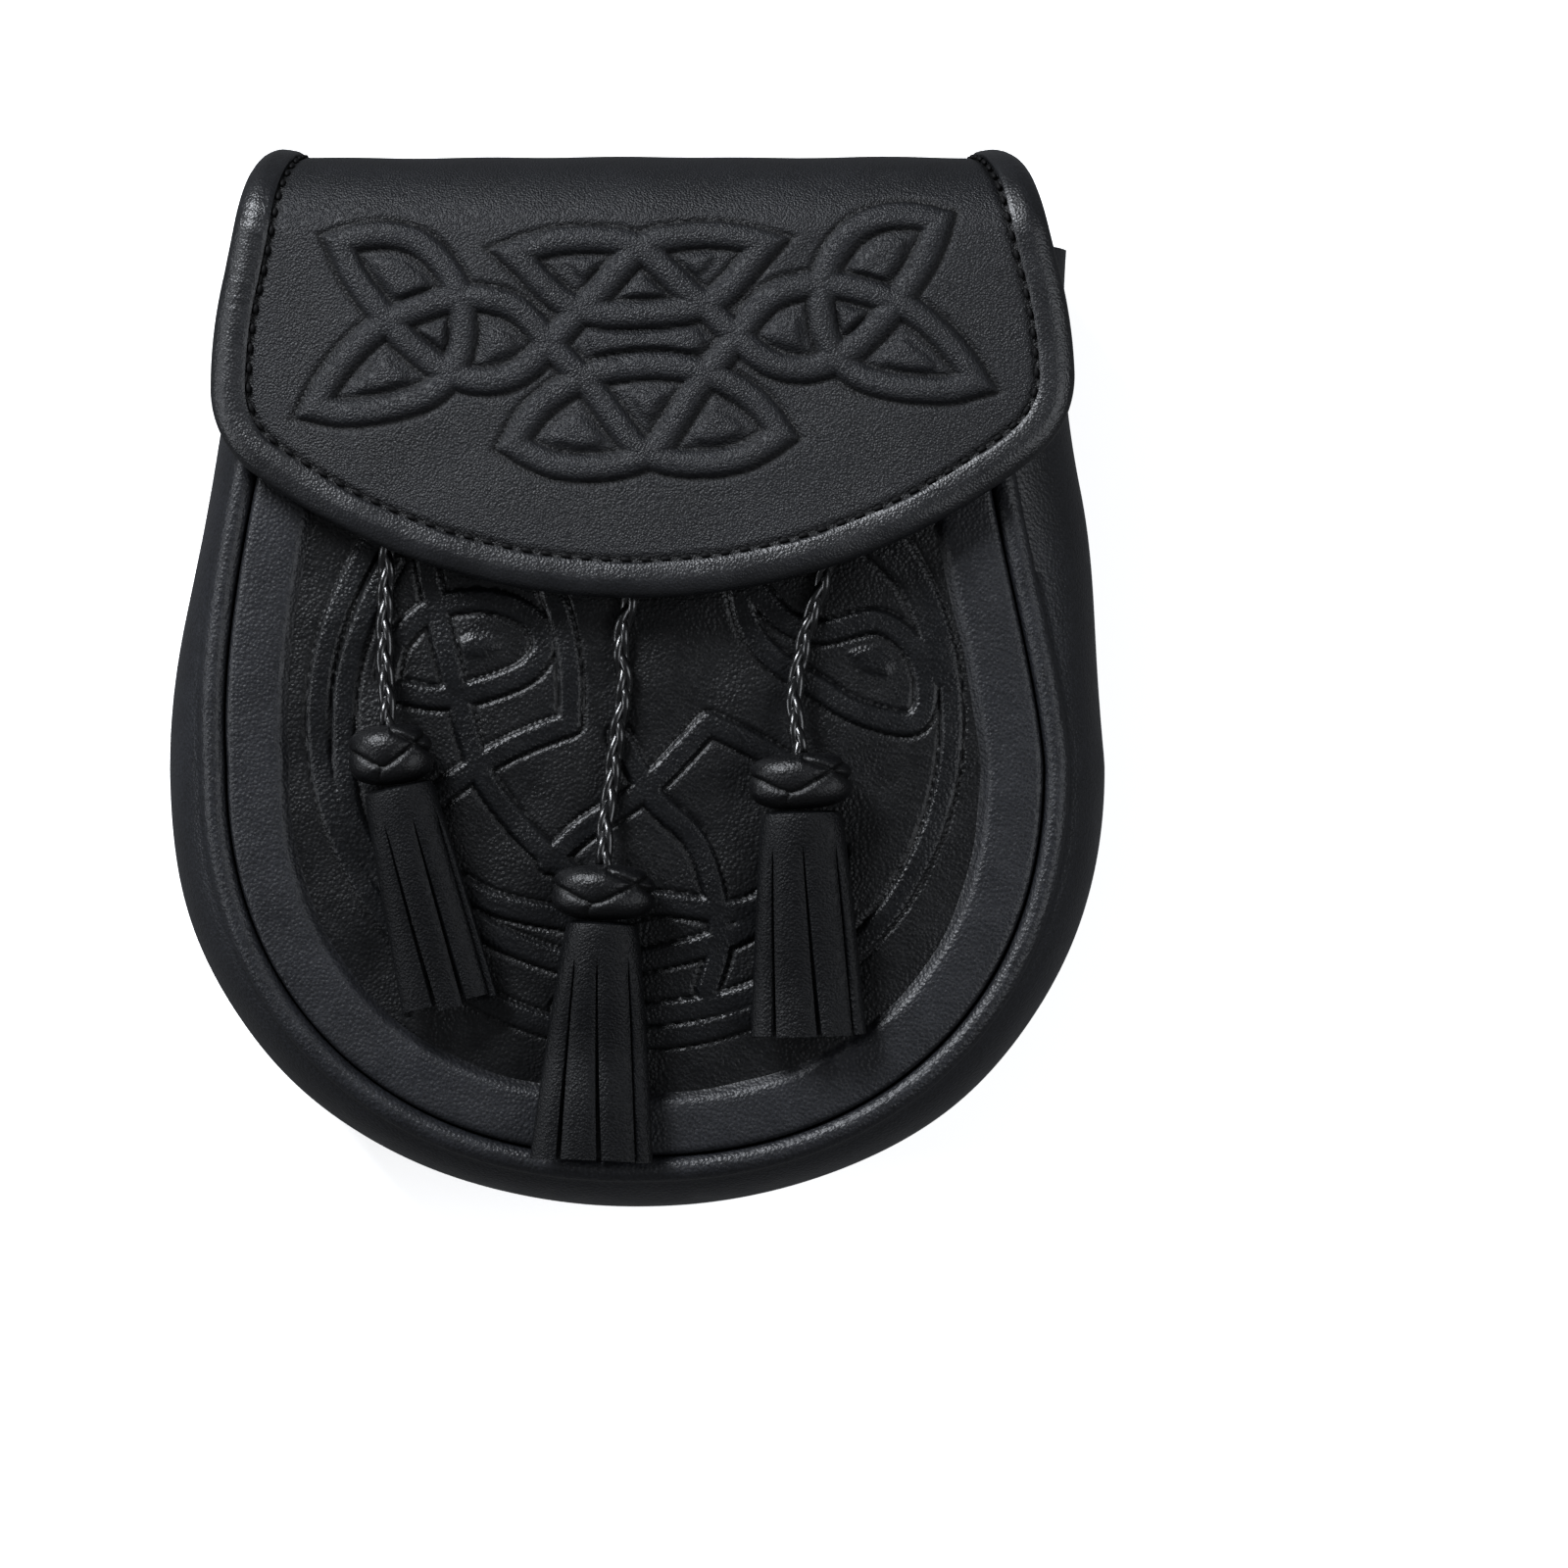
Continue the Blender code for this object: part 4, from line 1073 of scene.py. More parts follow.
class StitchRow:
    """A row of stitches along a line, made with Geometry Nodes and turned into a plain mesh."""

    def __init__(self, shop: Workshop, thread: bpy.types.Material) -> None:
        """Keep the workshop and the thread."""
        self.shop = shop
        self.thread = thread

    def tree(self) -> bpy.types.NodeTree:
        """Build the node tree: points along the line, one small stitch on each."""
        tree = bpy.data.node_groups.new("stitch_row", "GeometryNodeTree")
        face = tree.interface
        face.new_socket("Line", in_out="INPUT", socket_type="NodeSocketGeometry")
        for name in ("Pitch", "Stitch Length", "Thread Width"):
            face.new_socket(name, in_out="INPUT", socket_type="NodeSocketFloat")
        face.new_socket("Thread", in_out="INPUT", socket_type="NodeSocketMaterial")
        face.new_socket("Stitches", in_out="OUTPUT", socket_type="NodeSocketGeometry")
        nodes, links = tree.nodes, tree.links
        entry, leave = nodes.new("NodeGroupInput"), nodes.new("NodeGroupOutput")
        spots = nodes.new("GeometryNodeCurveToPoints")
        spots.mode = "LENGTH"
        links.new(entry.outputs["Line"], spots.inputs["Curve"])
        links.new(entry.outputs["Pitch"], spots.inputs["Length"])
        stitch = nodes.new("GeometryNodeMeshUVSphere")
        stitch.inputs["Segments"].default_value = 8
        stitch.inputs["Rings"].default_value = 6
        stitch.inputs["Radius"].default_value = 0.5
        size = nodes.new("ShaderNodeCombineXYZ")
        links.new(entry.outputs["Thread Width"], size.inputs["X"])
        links.new(entry.outputs["Thread Width"], size.inputs["Y"])
        links.new(entry.outputs["Stitch Length"], size.inputs["Z"])
        place = nodes.new("GeometryNodeInstanceOnPoints")
        links.new(spots.outputs["Points"], place.inputs["Points"])
        links.new(spots.outputs["Rotation"], place.inputs["Rotation"])
        links.new(stitch.outputs["Mesh"], place.inputs["Instance"])
        links.new(size.outputs["Vector"], place.inputs["Scale"])
        real = nodes.new("GeometryNodeRealizeInstances")
        finish = nodes.new("GeometryNodeSetMaterial")
        links.new(place.outputs["Instances"], real.inputs["Geometry"])
        links.new(real.outputs["Geometry"], finish.inputs["Geometry"])
        links.new(entry.outputs["Thread"], finish.inputs["Material"])
        links.new(finish.outputs["Geometry"], leave.inputs["Stitches"])
        return tree

    def sew(self, name: str, line: np.ndarray, pitch: float, length: float,
            width: float) -> bpy.types.Object:
        """Sew one row.

        Args:
            name: the piece's name.
            line: the points it follows, in the design's frame.
            pitch: how far apart the stitches are, in metres.
            length: one stitch's length, in metres.
            width: the thread's width, in metres.

        Returns:
            The row as a plain mesh object.
        """
        curve = bpy.data.curves.new(f"{name}_line", "CURVE")
        curve.dimensions = "3D"
        spline = curve.splines.new("POLY")
        spline.points.add(len(line) - 1)
        for point, spot in zip(spline.points, line + self.shop.shift):
            point.co = (*spot, 1.0)
        guide = bpy.data.objects.new(f"{name}_line", curve)
        bpy.context.scene.collection.objects.link(guide)
        tree = bpy.data.node_groups.get("stitch_row") or self.tree()
        modifier = guide.modifiers.new("stitch_row", "NODES")
        modifier.node_group = tree
        values = {"Pitch": pitch, "Stitch Length": length, "Thread Width": width,
                  "Thread": self.thread}
        for item in tree.interface.items_tree:
            if item.in_out == "INPUT" and item.name in values:
                modifier[item.identifier] = values[item.name]
        guide.update_tag()
        graph = bpy.context.evaluated_depsgraph_get()
        mesh = bpy.data.meshes.new_from_object(guide.evaluated_get(graph))
        mesh.name = name
        guide.modifiers.remove(modifier)
        bpy.data.objects.remove(guide, do_unlink=True)
        mesh.shade_smooth()
        made = bpy.data.objects.new(name, mesh)
        bpy.context.scene.collection.objects.link(made)
        LOG.info("%s: %d faces", name, len(mesh.polygons))
        return made


@dataclass
class Flap:
    """The flap: a leather sheet over the fold with embossed interlace, and its rolled binding.

    Attributes:
        shop: makes the pieces.
        finishes: the materials.
    """

    shop: Workshop
    finishes: Finishes
    half_width: float = 0.0808
    bottom_y: float = 0.0140
    widest_y: float = 0.053
    side_radius: float = 0.090
    bottom_radius: float = 0.120
    corner_radius: float = 0.0195
    fold_y: float = 0.082
    fold_reach: float = 0.015
    rear_length: float = 0.016
    side_drop: float = 0.003
    turn: float = math.radians(1.2)
    sideways: float = 0.0015
    thickness: float = 0.0020
    front_z: float = 0.0564
    rear_z: float = 0.0043
    binding_width: float = 0.0066
    binding_half: float = 0.0026
    binding_core: float = 0.0020
    binding_clearance: float = 0.0005
    binding_lap: float = 0.0002
    crease_size: float = 0.0021
    crease_patch: float = 0.03
    crease_depth: float = 0.00006
    puff: float = 0.05
    puff_size: float = 0.022
    stitch_inset: float = 0.0006
    stitch_pitch: float = 0.0037
    stitch_length: float = 0.0020
    thread_width: float = 0.0011
    thread_lift: float = 0.0001
    furrow_width: float = 0.0008
    furrow_depth: float = 0.00040
    ripple: float = 0.0002
    ripple_size: float = 0.025
    ornament_depth: float = 0.008
    ornament_half_width: float = 0.076
    ornament_low_y: float = 0.028
    front_weight: float = 3.6
    arc_points: int = 60
    rows: int = 260
    columns: int = 340
    coarse: int = 10
    upper_side: tuple = ((0.16, 0.919), (0.50, 0.870), (1.00, 0.849), (1.25, 0.842))

    def fold_table(self) -> tuple[np.ndarray, np.ndarray]:
        """Angles round the fold and the length of leather up to each."""
        turn = np.linspace(0.0, math.pi, 361)
        half = (self.front_z - self.rear_z) / 2.0
        speed = np.hypot(self.fold_reach * np.cos(turn), half * np.sin(turn))
        steps = (speed[1:] + speed[:-1]) / 2.0 * np.diff(turn)
        return turn, np.concatenate([[0.0], np.cumsum(steps)])

    def half_outline(self) -> tuple[np.ndarray, np.ndarray]:
        """The right half of the flap's edge, laid flat, split at the middle of its corner."""
        side_centre = np.array([self.half_width - self.side_radius, self.widest_y])
        bottom_centre = np.array([0.0, self.bottom_y + self.bottom_radius])
        a = self.side_radius - self.corner_radius
        b = self.bottom_radius - self.corner_radius
        between = bottom_centre - side_centre
        apart = np.linalg.norm(between)
        along = (a * a - b * b + apart * apart) / (2.0 * apart)
        across = math.sqrt(a * a - along * along)
        unit = between / apart
        corner = side_centre + along * unit + across * np.array([unit[1], -unit[0]])
        side_angle = math.atan2(*(corner - side_centre)[::-1])
        bottom_angle = math.atan2(*(corner - bottom_centre)[::-1])
        top_angle = math.asin((self.fold_y - 0.006 - self.widest_y) / self.side_radius)
        length = self.fold_table()[1][-1]
        upper = np.array([(self.half_width * width, self.fold_y + share * length)
                          for share, width in reversed(self.upper_side)])
        upper[0, 1] = self.fold_y + length + self.rear_length

        def arc(centre: np.ndarray, radius: float, start: float, end: float) -> np.ndarray:
            """Points on an arc between two angles."""
            turn = np.linspace(start, end, self.arc_points)
            return centre + radius * np.stack([np.cos(turn), np.sin(turn)], axis=1)

        side = arc(side_centre, self.side_radius, top_angle, side_angle)
        upper = curve_through(np.concatenate([upper, side[:6:5]]), 0.004)
        upper = upper[upper[:, 1] > side[0, 1] + 0.001]
        bend = arc(corner, self.corner_radius, side_angle, bottom_angle)
        bottom = arc(bottom_centre, self.bottom_radius, bottom_angle, -math.pi / 2.0)
        half = self.arc_points // 2
        return (np.concatenate([upper, side, bend[1:half + 1]]),
                np.concatenate([bend[half:-1], bottom]))

    def place(self, flat: np.ndarray, height: np.ndarray | float) -> np.ndarray:
        """Say where points of the flat flap lie.

        Args:
            flat: rows of (x, y) on the flap laid flat.
            height: how far each is out from the middle of the sheet, in metres.

        Returns:
            Their places in the design's frame.
        """
        turn_cos, turn_sin = math.cos(self.turn), math.sin(self.turn)
        level = flat - np.array([0.0, self.widest_y])
        x = level[..., 0] * turn_cos - level[..., 1] * turn_sin + self.sideways
        y = level[..., 0] * turn_sin + level[..., 1] * turn_cos + self.widest_y
        angles, lengths = self.fold_table()
        past = y - self.fold_y
        angle = np.interp(past, lengths, angles)
        half = (self.front_z - self.rear_z) / 2.0
        middle = (self.front_z + self.rear_z) / 2.0
        normal_y, normal_z = half * np.sin(angle), self.fold_reach * np.cos(angle)
        size = np.hypot(normal_y, normal_z)
        straight = np.where(past < 0.0, past, -np.maximum(past - lengths[-1], 0.0))
        place_y = (self.fold_y + straight + self.fold_reach * np.sin(angle)
                   + height * normal_y / size)
        drop = self.side_drop * (np.abs(x) / self.half_width) ** 3 * (1.0 + np.cos(angle)) / 2.0
        place_z = middle + half * np.cos(angle) - drop + height * normal_z / size
        return np.stack([x, place_y, place_z], axis=-1)

    def edge(self, rows: int, columns: int) -> np.ndarray:
        """The flat flap's free edge from its right rear corner to its left rear corner.

        Args:
            rows: steps down each side, close together on the front and wide apart behind.
            columns: steps along the bottom.

        Returns:
            Its points.
        """
        side, half_bottom = self.half_outline()
        fine = evenly(side, 1600)
        steps = np.linalg.norm(np.diff(fine, axis=0), axis=1)
        weight = np.where(fine[1:, 1] < self.fold_y + 0.014, self.front_weight, 1.0)
        along = np.concatenate([[0.0], np.cumsum(steps * weight)])
        at = np.linspace(0.0, along[-1], rows + 1)
        side = np.stack([np.interp(at, along, fine[:, k]) for k in range(2)], axis=1)
        half = np.concatenate([side, evenly(half_bottom, columns // 2 + 1)[1:]])
        return np.concatenate([half, half[-2::-1] * np.array([-1.0, 1.0])])

    def ornament(self) -> Interlace:
        """Lay out the interlace: two three-cornered knots joined to a four-petalled middle."""
        knot = Interlace(half_width=0.0026, rise=0.0011, groove=0.0005, spread=0.00055,
                         squareness=2.2)
        middle = from_photo(((657.0, 345.0),))[0]
        tilt = math.radians(2.2)
        right = np.array([math.cos(tilt), math.sin(tilt)])

        def mirrored(points: np.ndarray) -> np.ndarray:
            """The same points on the other side of the ornament's upright axis."""
            away = (points - middle) @ right
            return points - 2.0 * away[:, None] * right[None]

        outer_top, outer_bottom = (348, 251), (322, 418)
        upper_tip, lower_tip = (782, 252), (797, 445)
        bands = (
            (outer_top, (370, 244), (400, 242), (428, 250), (450, 268), (465, 290), (473, 315),
             (474, 340), (470, 365), (458, 388), (437, 405), (410, 415), (380, 421), (350, 423),
             outer_bottom),
            (outer_top, (355, 268), (365, 287), (380, 308), (396, 328), (412, 346), (430, 362),
             (450, 377), (475, 388), (500, 391), (525, 385), (545, 371), (560, 354), (575, 339),
             (592, 320), (611, 301), (630, 279), (647, 262), (668, 249), (700, 243), (735, 242),
             (765, 247), upper_tip),
            (outer_bottom, (332, 398), (345, 379), (362, 359), (382, 341), (405, 327),
             (430, 317), (455, 309), (480, 306), (505, 309), (527, 317), (545, 332), (560, 351),
             (578, 370), (597, 390), (615, 412), (632, 435), (650, 457), (668, 468), (695, 474),
             (728, 474), (758, 468), (783, 455), lower_tip),
        )
        for band in bands:
            line = from_photo(band)
            knot.strand(line, (True, True))
            knot.strand(mirrored(line), (True, True))
        top = from_photo((upper_tip, (768, 268), (748, 292), (728, 309), (700, 319), (655, 323)))
        low = from_photo((lower_tip, (786, 428), (768, 409), (745, 394), (722, 384), (695, 377),
                          (660, 375)))
        for half in (top, low):
            knot.strand(np.concatenate([half, mirrored(half)[-2::-1]]), (True, True))
        side_pads = (
            ((381, 266), (395, 263), (415, 268), (435, 283), (441, 297), (425, 303), (408, 309),
             (395, 297), (385, 282)),
            ((396, 364), (405, 372), (418, 382), (419, 391), (400, 399), (380, 403), (363, 402),
             (364, 393), (378, 379)),
            ((498, 336), (510, 337), (524, 344), (531, 353), (527, 361), (513, 368), (497, 371),
             (495, 355)),
            ((424, 341), (440, 334), (457, 325), (461, 345), (457, 364), (440, 355)),
            ((578, 268), (595, 265), (611, 269), (607, 279), (598, 288), (588, 283)),
            ((592, 422), (603, 432), (618, 451), (612, 458), (590, 460), (565, 453), (562, 444),
             (575, 432)),
        )
        middle_pads = (
            ((634, 304), (645, 290), (655, 283), (667, 290), (680, 303), (656, 308)),
            ((600, 334), (612, 331), (635, 337), (660, 340), (685, 336), (702, 331), (714, 338),
             (722, 350), (716, 360), (703, 366), (680, 361), (650, 361), (625, 364), (610, 367),
             (602, 360), (597, 347)),
            ((641, 402), (660, 400), (681, 401), (675, 417), (662, 433), (652, 422)),
        )
        for pad in side_pads:
            shape = from_photo(pad)
            knot.pads += [shape, mirrored(shape)]
        knot.pads += [from_photo(pad) for pad in middle_pads]
        dots = ((445.0, 346.0, 3.0), (656.0, 299.0, 2.5))
        for x, y, size in dots:
            turn = np.linspace(0.0, 2.0 * math.pi, 12, endpoint=False)
            ring = np.column_stack([x + size * np.cos(turn), y + size * np.sin(turn)])
            dot = from_photo(ring)
            knot.pads += [dot] if x > 600.0 else [dot, mirrored(dot)]
        return knot

    def make_sheet(self) -> bpy.types.Object:
        """Make the embossed sheet on a fine grid stretched between its four edges."""
        rows, columns, step = self.rows, self.columns, self.coarse
        edge = self.edge(rows, columns)
        stitch_line = inset_line(self.edge(80, 80), self.binding_width + self.stitch_inset)
        edge = inset_line(edge, self.binding_core + self.binding_clearance)
        right = edge[:rows + 1]
        bottom = edge[rows:-rows][::-1]
        left = edge[::-1][:rows + 1]
        rear = np.linspace(left[0], right[0], columns + 1)
        across = np.linspace(0.0, 1.0, columns + 1)[None, :, None]
        down = np.linspace(0.0, 1.0, rows + 1)[:, None, None]
        flat = (1 - across) * left[:, None] + across * right[:, None]
        flat = flat + (1 - down) * rear[None] + down * bottom[None]
        flat = flat - (1 - down) * ((1 - across) * left[0] + across * right[0])
        flat = flat - down * ((1 - across) * left[-1] + across * right[-1])
        half = self.thickness / 2.0
        spots = self.place(flat, half).reshape(-1, 3)
        height, tone = np.zeros(len(spots)), np.zeros(len(spots))
        front = np.flatnonzero((spots[:, 2] > self.front_z - self.ornament_depth)
                               & (np.abs(spots[:, 0]) < self.ornament_half_width)
                               & (spots[:, 1] > self.ornament_low_y))
        height[front], tone[front] = self.ornament().measure(spots[front, :2])
        near, _ = nearest_on_line(flat.reshape(-1, 2), stitch_line)
        sunk = np.exp(-(near / self.furrow_width) ** 2)
        height -= self.furrow_depth * sunk
        # Painted shade darkens the stitch furrow.
        tone -= sunk
        height += self.ripple * value_noise(spots, self.ripple_size, 5)
        outer = self.place(flat, half + height.reshape(flat.shape[:2]))
        inner = self.place(flat[::step, ::step], -half)
        number = np.arange(len(spots)).reshape(rows + 1, columns + 1)
        under = len(spots) + np.arange(inner.shape[0] * inner.shape[1]).reshape(inner.shape[:2])
        faces = []
        for grid, turned in ((number, False), (under, True)):
            quads = grid_faces(grid)
            faces += (quads[:, ::-1] if turned else quads).tolist()
        for fine, rough in ((number[0], under[0]), (number[-1], under[-1]),
                            (number[:, 0], under[:, 0]), (number[:, -1], under[:, -1])):
            for k in range(len(rough) - 1):
                faces.append([*fine[k * step:(k + 1) * step + 1].tolist(), int(rough[k + 1]),
                              int(rough[k])])
        points = np.concatenate([outer.reshape(-1, 3), inner.reshape(-1, 3)])
        relief = np.concatenate([np.clip(tone, -1.0, 1.0), np.zeros(under.size)])
        made = self.shop.piece("flap_leather_sheet", points, faces, self.finishes.flap, relief)
        return self.shop.wear(made, Slot.FLAP, "flap")

    def make_binding(self) -> bpy.types.Object:
        """Make the rolled strip round the free edge, with fine creases across it."""
        edge = self.edge(230, 240)
        width, core, half = self.binding_width, self.binding_core, self.binding_half
        gap = self.thickness / 2.0 + self.binding_clearance
        seat = gap - self.binding_lap
        outside = np.array([(width, seat), (0.985 * width, gap + 0.0005),
                            (0.80 * width, gap + 0.0009), (0.45 * width, half),
                            (0.12 * width, 0.62 * half), (0.0, 0.0),
                            (0.12 * width, -0.62 * half), (0.45 * width, -half),
                            (width, -gap - 0.0006)])
        profile = curve_through(outside, 0.00055)
        inside = np.array([(width, seat), (core, seat), (core, -gap), (width, -gap)])
        hollow = evenly(inside, len(profile))
        along = run_along(edge)
        crease = (value_noise(along[:, None], self.crease_size, 21)
                  * value_noise(along[:, None], self.crease_patch, 22))
        puff = 1.0 + self.puff * value_noise(along[:, None], self.puff_size, 23)
        outer = []
        for i, h in profile:
            bulk = math.sin(math.pi * min(i / width, 1.0)) ** 0.5 if 0 < i < width else 0.0
            out = h * puff + math.copysign(bulk, h) * self.crease_depth * crease
            outer.append(self.place(inset_line(edge, i), out if bulk else h))
        inner = [self.place(inset_line(edge, i), h) for i, h in hollow]
        made = self.shop.piece("binding_leather_roll",
                               *wall(np.stack(outer, axis=1), np.stack(inner, axis=1)),
                               self.finishes.binding)
        return self.shop.wear(made, Slot.BINDING, "flap_binding")

    def sew(self) -> None:
        """Sew the row of stitches just inside the binding."""
        line = inset_line(self.edge(160, 160), self.binding_width + self.stitch_inset)
        spots = self.place(line, self.thickness / 2.0 + self.thread_lift)
        row = StitchRow(self.shop, self.finishes.thread)
        made = row.sew("flap_stitches", spots, self.stitch_pitch, self.stitch_length,
                       self.thread_width)
        self.shop.wear(made, Slot.BINDING)

    def build(self) -> None:
        """Make the sheet, the binding and the stitches."""
        self.make_sheet()
        self.make_binding()
        self.sew()


@dataclass
class FrontField:
    """The recessed field of the front, with its round interlaced medallion.

    Attributes:
        shop: makes the pieces.
        finishes: the materials.
        body: the body that it is part of.
        pitch: the size of its grid's cells, in metres.
    """

    shop: Workshop
    finishes: Finishes
    body: PouchBody
    pitch: float = 0.00041
    medallion_y: float = -0.0088
    medallion_radius: float = 0.0595
    medallion_margin: float = 0.0020
    medallion_fade: float = 0.0012
    half_width: float = 0.0705
    bottom_y: float = -0.0840
    top_y: float = 0.0640
    edge_gap: float = 0.0010
    thickness: float = 0.0040
    ripple: float = 0.00025
    ripple_size: float = 0.02

    def ornament(self) -> Interlace:
        """Lay out the medallion: a ring, bands that cross each other, and two pads."""
        knot = Interlace(half_width=0.0023, rise=0.0006, groove=0.00042, spread=0.0004,
                         squareness=5.0)
        turn = np.linspace(0.0, 2.0 * math.pi, 48, endpoint=False)
        ring = self.medallion_radius * np.stack([np.cos(turn), np.sin(turn)], axis=1)
        knot.strand(ring + np.array([0.0, self.medallion_y]), closed=True)
        bands = (
            ((432, 560), (440, 600), (449, 642), (462, 691), (481, 762), (498, 802), (537, 851),
             (576, 887), (600, 905)),
            ((395, 690), (405, 655), (440, 622), (490, 612), (535, 625), (555, 655), (538, 684),
             (497, 702), (450, 712), (405, 705)),
            ((395, 855), (440, 815), (498, 775), (537, 755), (582, 738)),
            ((582, 738), (582, 690), (575, 645), (562, 600), (552, 560)),
            ((560, 880), (595, 847), (661, 802), (723, 738)),
            ((723, 738), (772, 762), (804, 782), (832, 800)),
            ((632, 752), (667, 815), (707, 854), (726, 900), (735, 960), (722, 1010)),
            ((470, 905), (504, 922), (563, 935), (610, 938), (667, 922), (755, 930), (800, 905),
             (850, 870)),
            ((480, 938), (520, 962), (600, 985), (693, 972), (752, 953), (800, 925)),
            ((575, 1030), (664, 1035), (752, 1020), (830, 985)),
            ((770, 600), (800, 632), (837, 645), (896, 634), (935, 664), (946, 710), (930, 738),
             (876, 727), (831, 700), (790, 672), (765, 640), (752, 590)),
            ((895, 560), (925, 590), (948, 640), (962, 690)),
            ((400, 905), (370, 860), (352, 800), (352, 700), (375, 620), (400, 570)),
        )
        for band in bands:
            knot.strand(from_photo(band))
        knot.pads += [from_photo(pad) for pad in (
            ((462, 655), (480, 646), (505, 648), (512, 660), (495, 672), (472, 670)),
            ((863, 664), (890, 657), (914, 675), (908, 692), (880, 686)))]
        return knot

    def build(self) -> bpy.types.Object:
        """Make the field as a closed body on a fine grid."""
        body = self.body
        across = np.arange(-self.half_width, self.half_width, self.pitch)
        up = np.arange(self.bottom_y, self.top_y, self.pitch)
        x, y = np.meshgrid(across, up)
        places = np.stack([x.ravel(), y.ravel()], axis=1)
        inside = body.inside(places)
        keep = (inside > body.panel_edge + body.rim_width + self.edge_gap) & body.within(places)
        base = body.field_height(places)
        height, tone = np.zeros(len(places)), np.zeros(len(places))
        picked = np.flatnonzero(keep)
        rise, shade = self.ornament().measure(places[picked])
        radius = np.hypot(places[picked, 0], places[picked, 1] - self.medallion_y)
        within = 1.0 - ease((radius - self.medallion_radius - self.medallion_margin)
                            / self.medallion_fade)
        height[picked] = rise * within
        tone[picked] = shade * within
        height += self.ripple * value_noise(places, self.ripple_size, 31)
        number = np.arange(len(places)).reshape(x.shape)
        quads = grid_faces(number)[grid_faces(keep.reshape(x.shape)).all(axis=1)]
        edges = np.concatenate([quads[:, [k, (k + 1) % 4]] for k in range(4)])
        both = {(int(s), int(e)) for s, e in edges}
        border = {s: e for s, e in both if (e, s) not in both}
        start = next(iter(border))
        loop = [start]
        while border[loop[-1]] != start:
            loop.append(border[loop[-1]])
        floor = body.rim_z - self.thickness
        under = np.column_stack([places[loop], np.full(len(loop), floor)])
        points = np.concatenate([np.column_stack([places, base + height]), under])
        faces = quads.tolist()
        first = len(places)
        count = len(loop)
        for k in range(count):
            following = (k + 1) % count
            faces.append([loop[following], loop[k], first + k, first + following])
        faces.append([first + k for k in reversed(range(count))])
        relief = np.concatenate([tone, np.zeros(count)])
        made = self.shop.piece("front_field", points, faces, self.finishes.front, relief)
        return self.shop.wear(made, Slot.BODY, "front_panel")


@dataclass(frozen=True)
class TasselPlan:
    """Where one tassel hangs, its sizes, and the route of its cord.

    Attributes:
        name: left, centre or right.
        head: the middle of its knot, in metres.
        foot: the middle of its hem, in metres.
        neck: the skirt's width under the knot.
        hem: the skirt's width at its hem.
        knot: the knot's width.
        knot_height: the knot's height along its hole.
        knot_lean: the knot's lean in degrees.
        route: the cord's points as (x, y, height above the panel's face).
        slits: where the skirt's front slits start and end, as shares of its half-width.
    """

    name: str
    head: tuple[float, float]
    foot: tuple[float, float]
    neck: float
    hem: float
    knot: float
    knot_height: float
    knot_lean: float
    route: tuple
    slits: tuple


TASSELS = (
    TasselPlan(
        name="left", head=(-0.0455, -0.0152), foot=(-0.0345, -0.0623), neck=0.0130, hem=0.0182,
        knot=0.0160, knot_height=0.0112, knot_lean=5.0,
        route=((-0.0460, 0.0420, -0.0055), (-0.0460, 0.0385, -0.0030), (-0.0461, 0.0345, 0.0000),
               (-0.0462, 0.0305, 0.0023), (-0.0463, 0.0255, 0.0023), (-0.0465, 0.0197, 0.0020),
               (-0.0468, 0.0131, 0.0022), (-0.0469, 0.0074, 0.0028), (-0.0467, 0.0008, 0.0043),
               (-0.0462, -0.0040, 0.0059)),
        slits=((-0.62, -0.30), (0.19, 0.33), (0.85, 0.90))),
    TasselPlan(
        name="centre", head=(-0.0057, -0.0409), foot=(-0.0081, -0.0910), neck=0.0132, hem=0.0233,
        knot=0.0196, knot_height=0.0103, knot_lean=-1.0,
        route=((0.0009, 0.0350, -0.0055), (0.0007, 0.0315, -0.0030), (0.0004, 0.0275, 0.0000),
               (0.0001, 0.0235, 0.0023), (-0.0004, 0.0187, 0.0022), (-0.0009, 0.0138, 0.0020),
               (-0.0027, 0.0059, 0.0020), (-0.0020, -0.0023, 0.0020), (-0.0031, -0.0097, 0.0020),
               (-0.0038, -0.0148, 0.0020), (-0.0046, -0.0220, 0.0026), (-0.0054, -0.0270, 0.0044),
               (-0.0056, -0.0310, 0.0060)),
        slits=((-0.65, -0.54), (-0.12, 0.13), (0.68, 0.76))),
    TasselPlan(
        name="right", head=(0.0310, -0.0201), foot=(0.0325, -0.0678), neck=0.0150, hem=0.0218,
        knot=0.0196, knot_height=0.0105, knot_lean=3.0,
        route=((0.0380, 0.0390, -0.0055), (0.0378, 0.0355, -0.0030), (0.0374, 0.0315, 0.0000),
               (0.0369, 0.0275, 0.0023), (0.0361, 0.0222, 0.0022), (0.0349, 0.0164, 0.0020),
               (0.0325, 0.0094, 0.0020), (0.0314, 0.0048, 0.0021), (0.0301, -0.0014, 0.0034),
               (0.0298, -0.0055, 0.0049), (0.0302, -0.0095, 0.0062)),
        slits=((-0.71, -0.61), (-0.03, 0.19), (0.75, 0.81))),
)


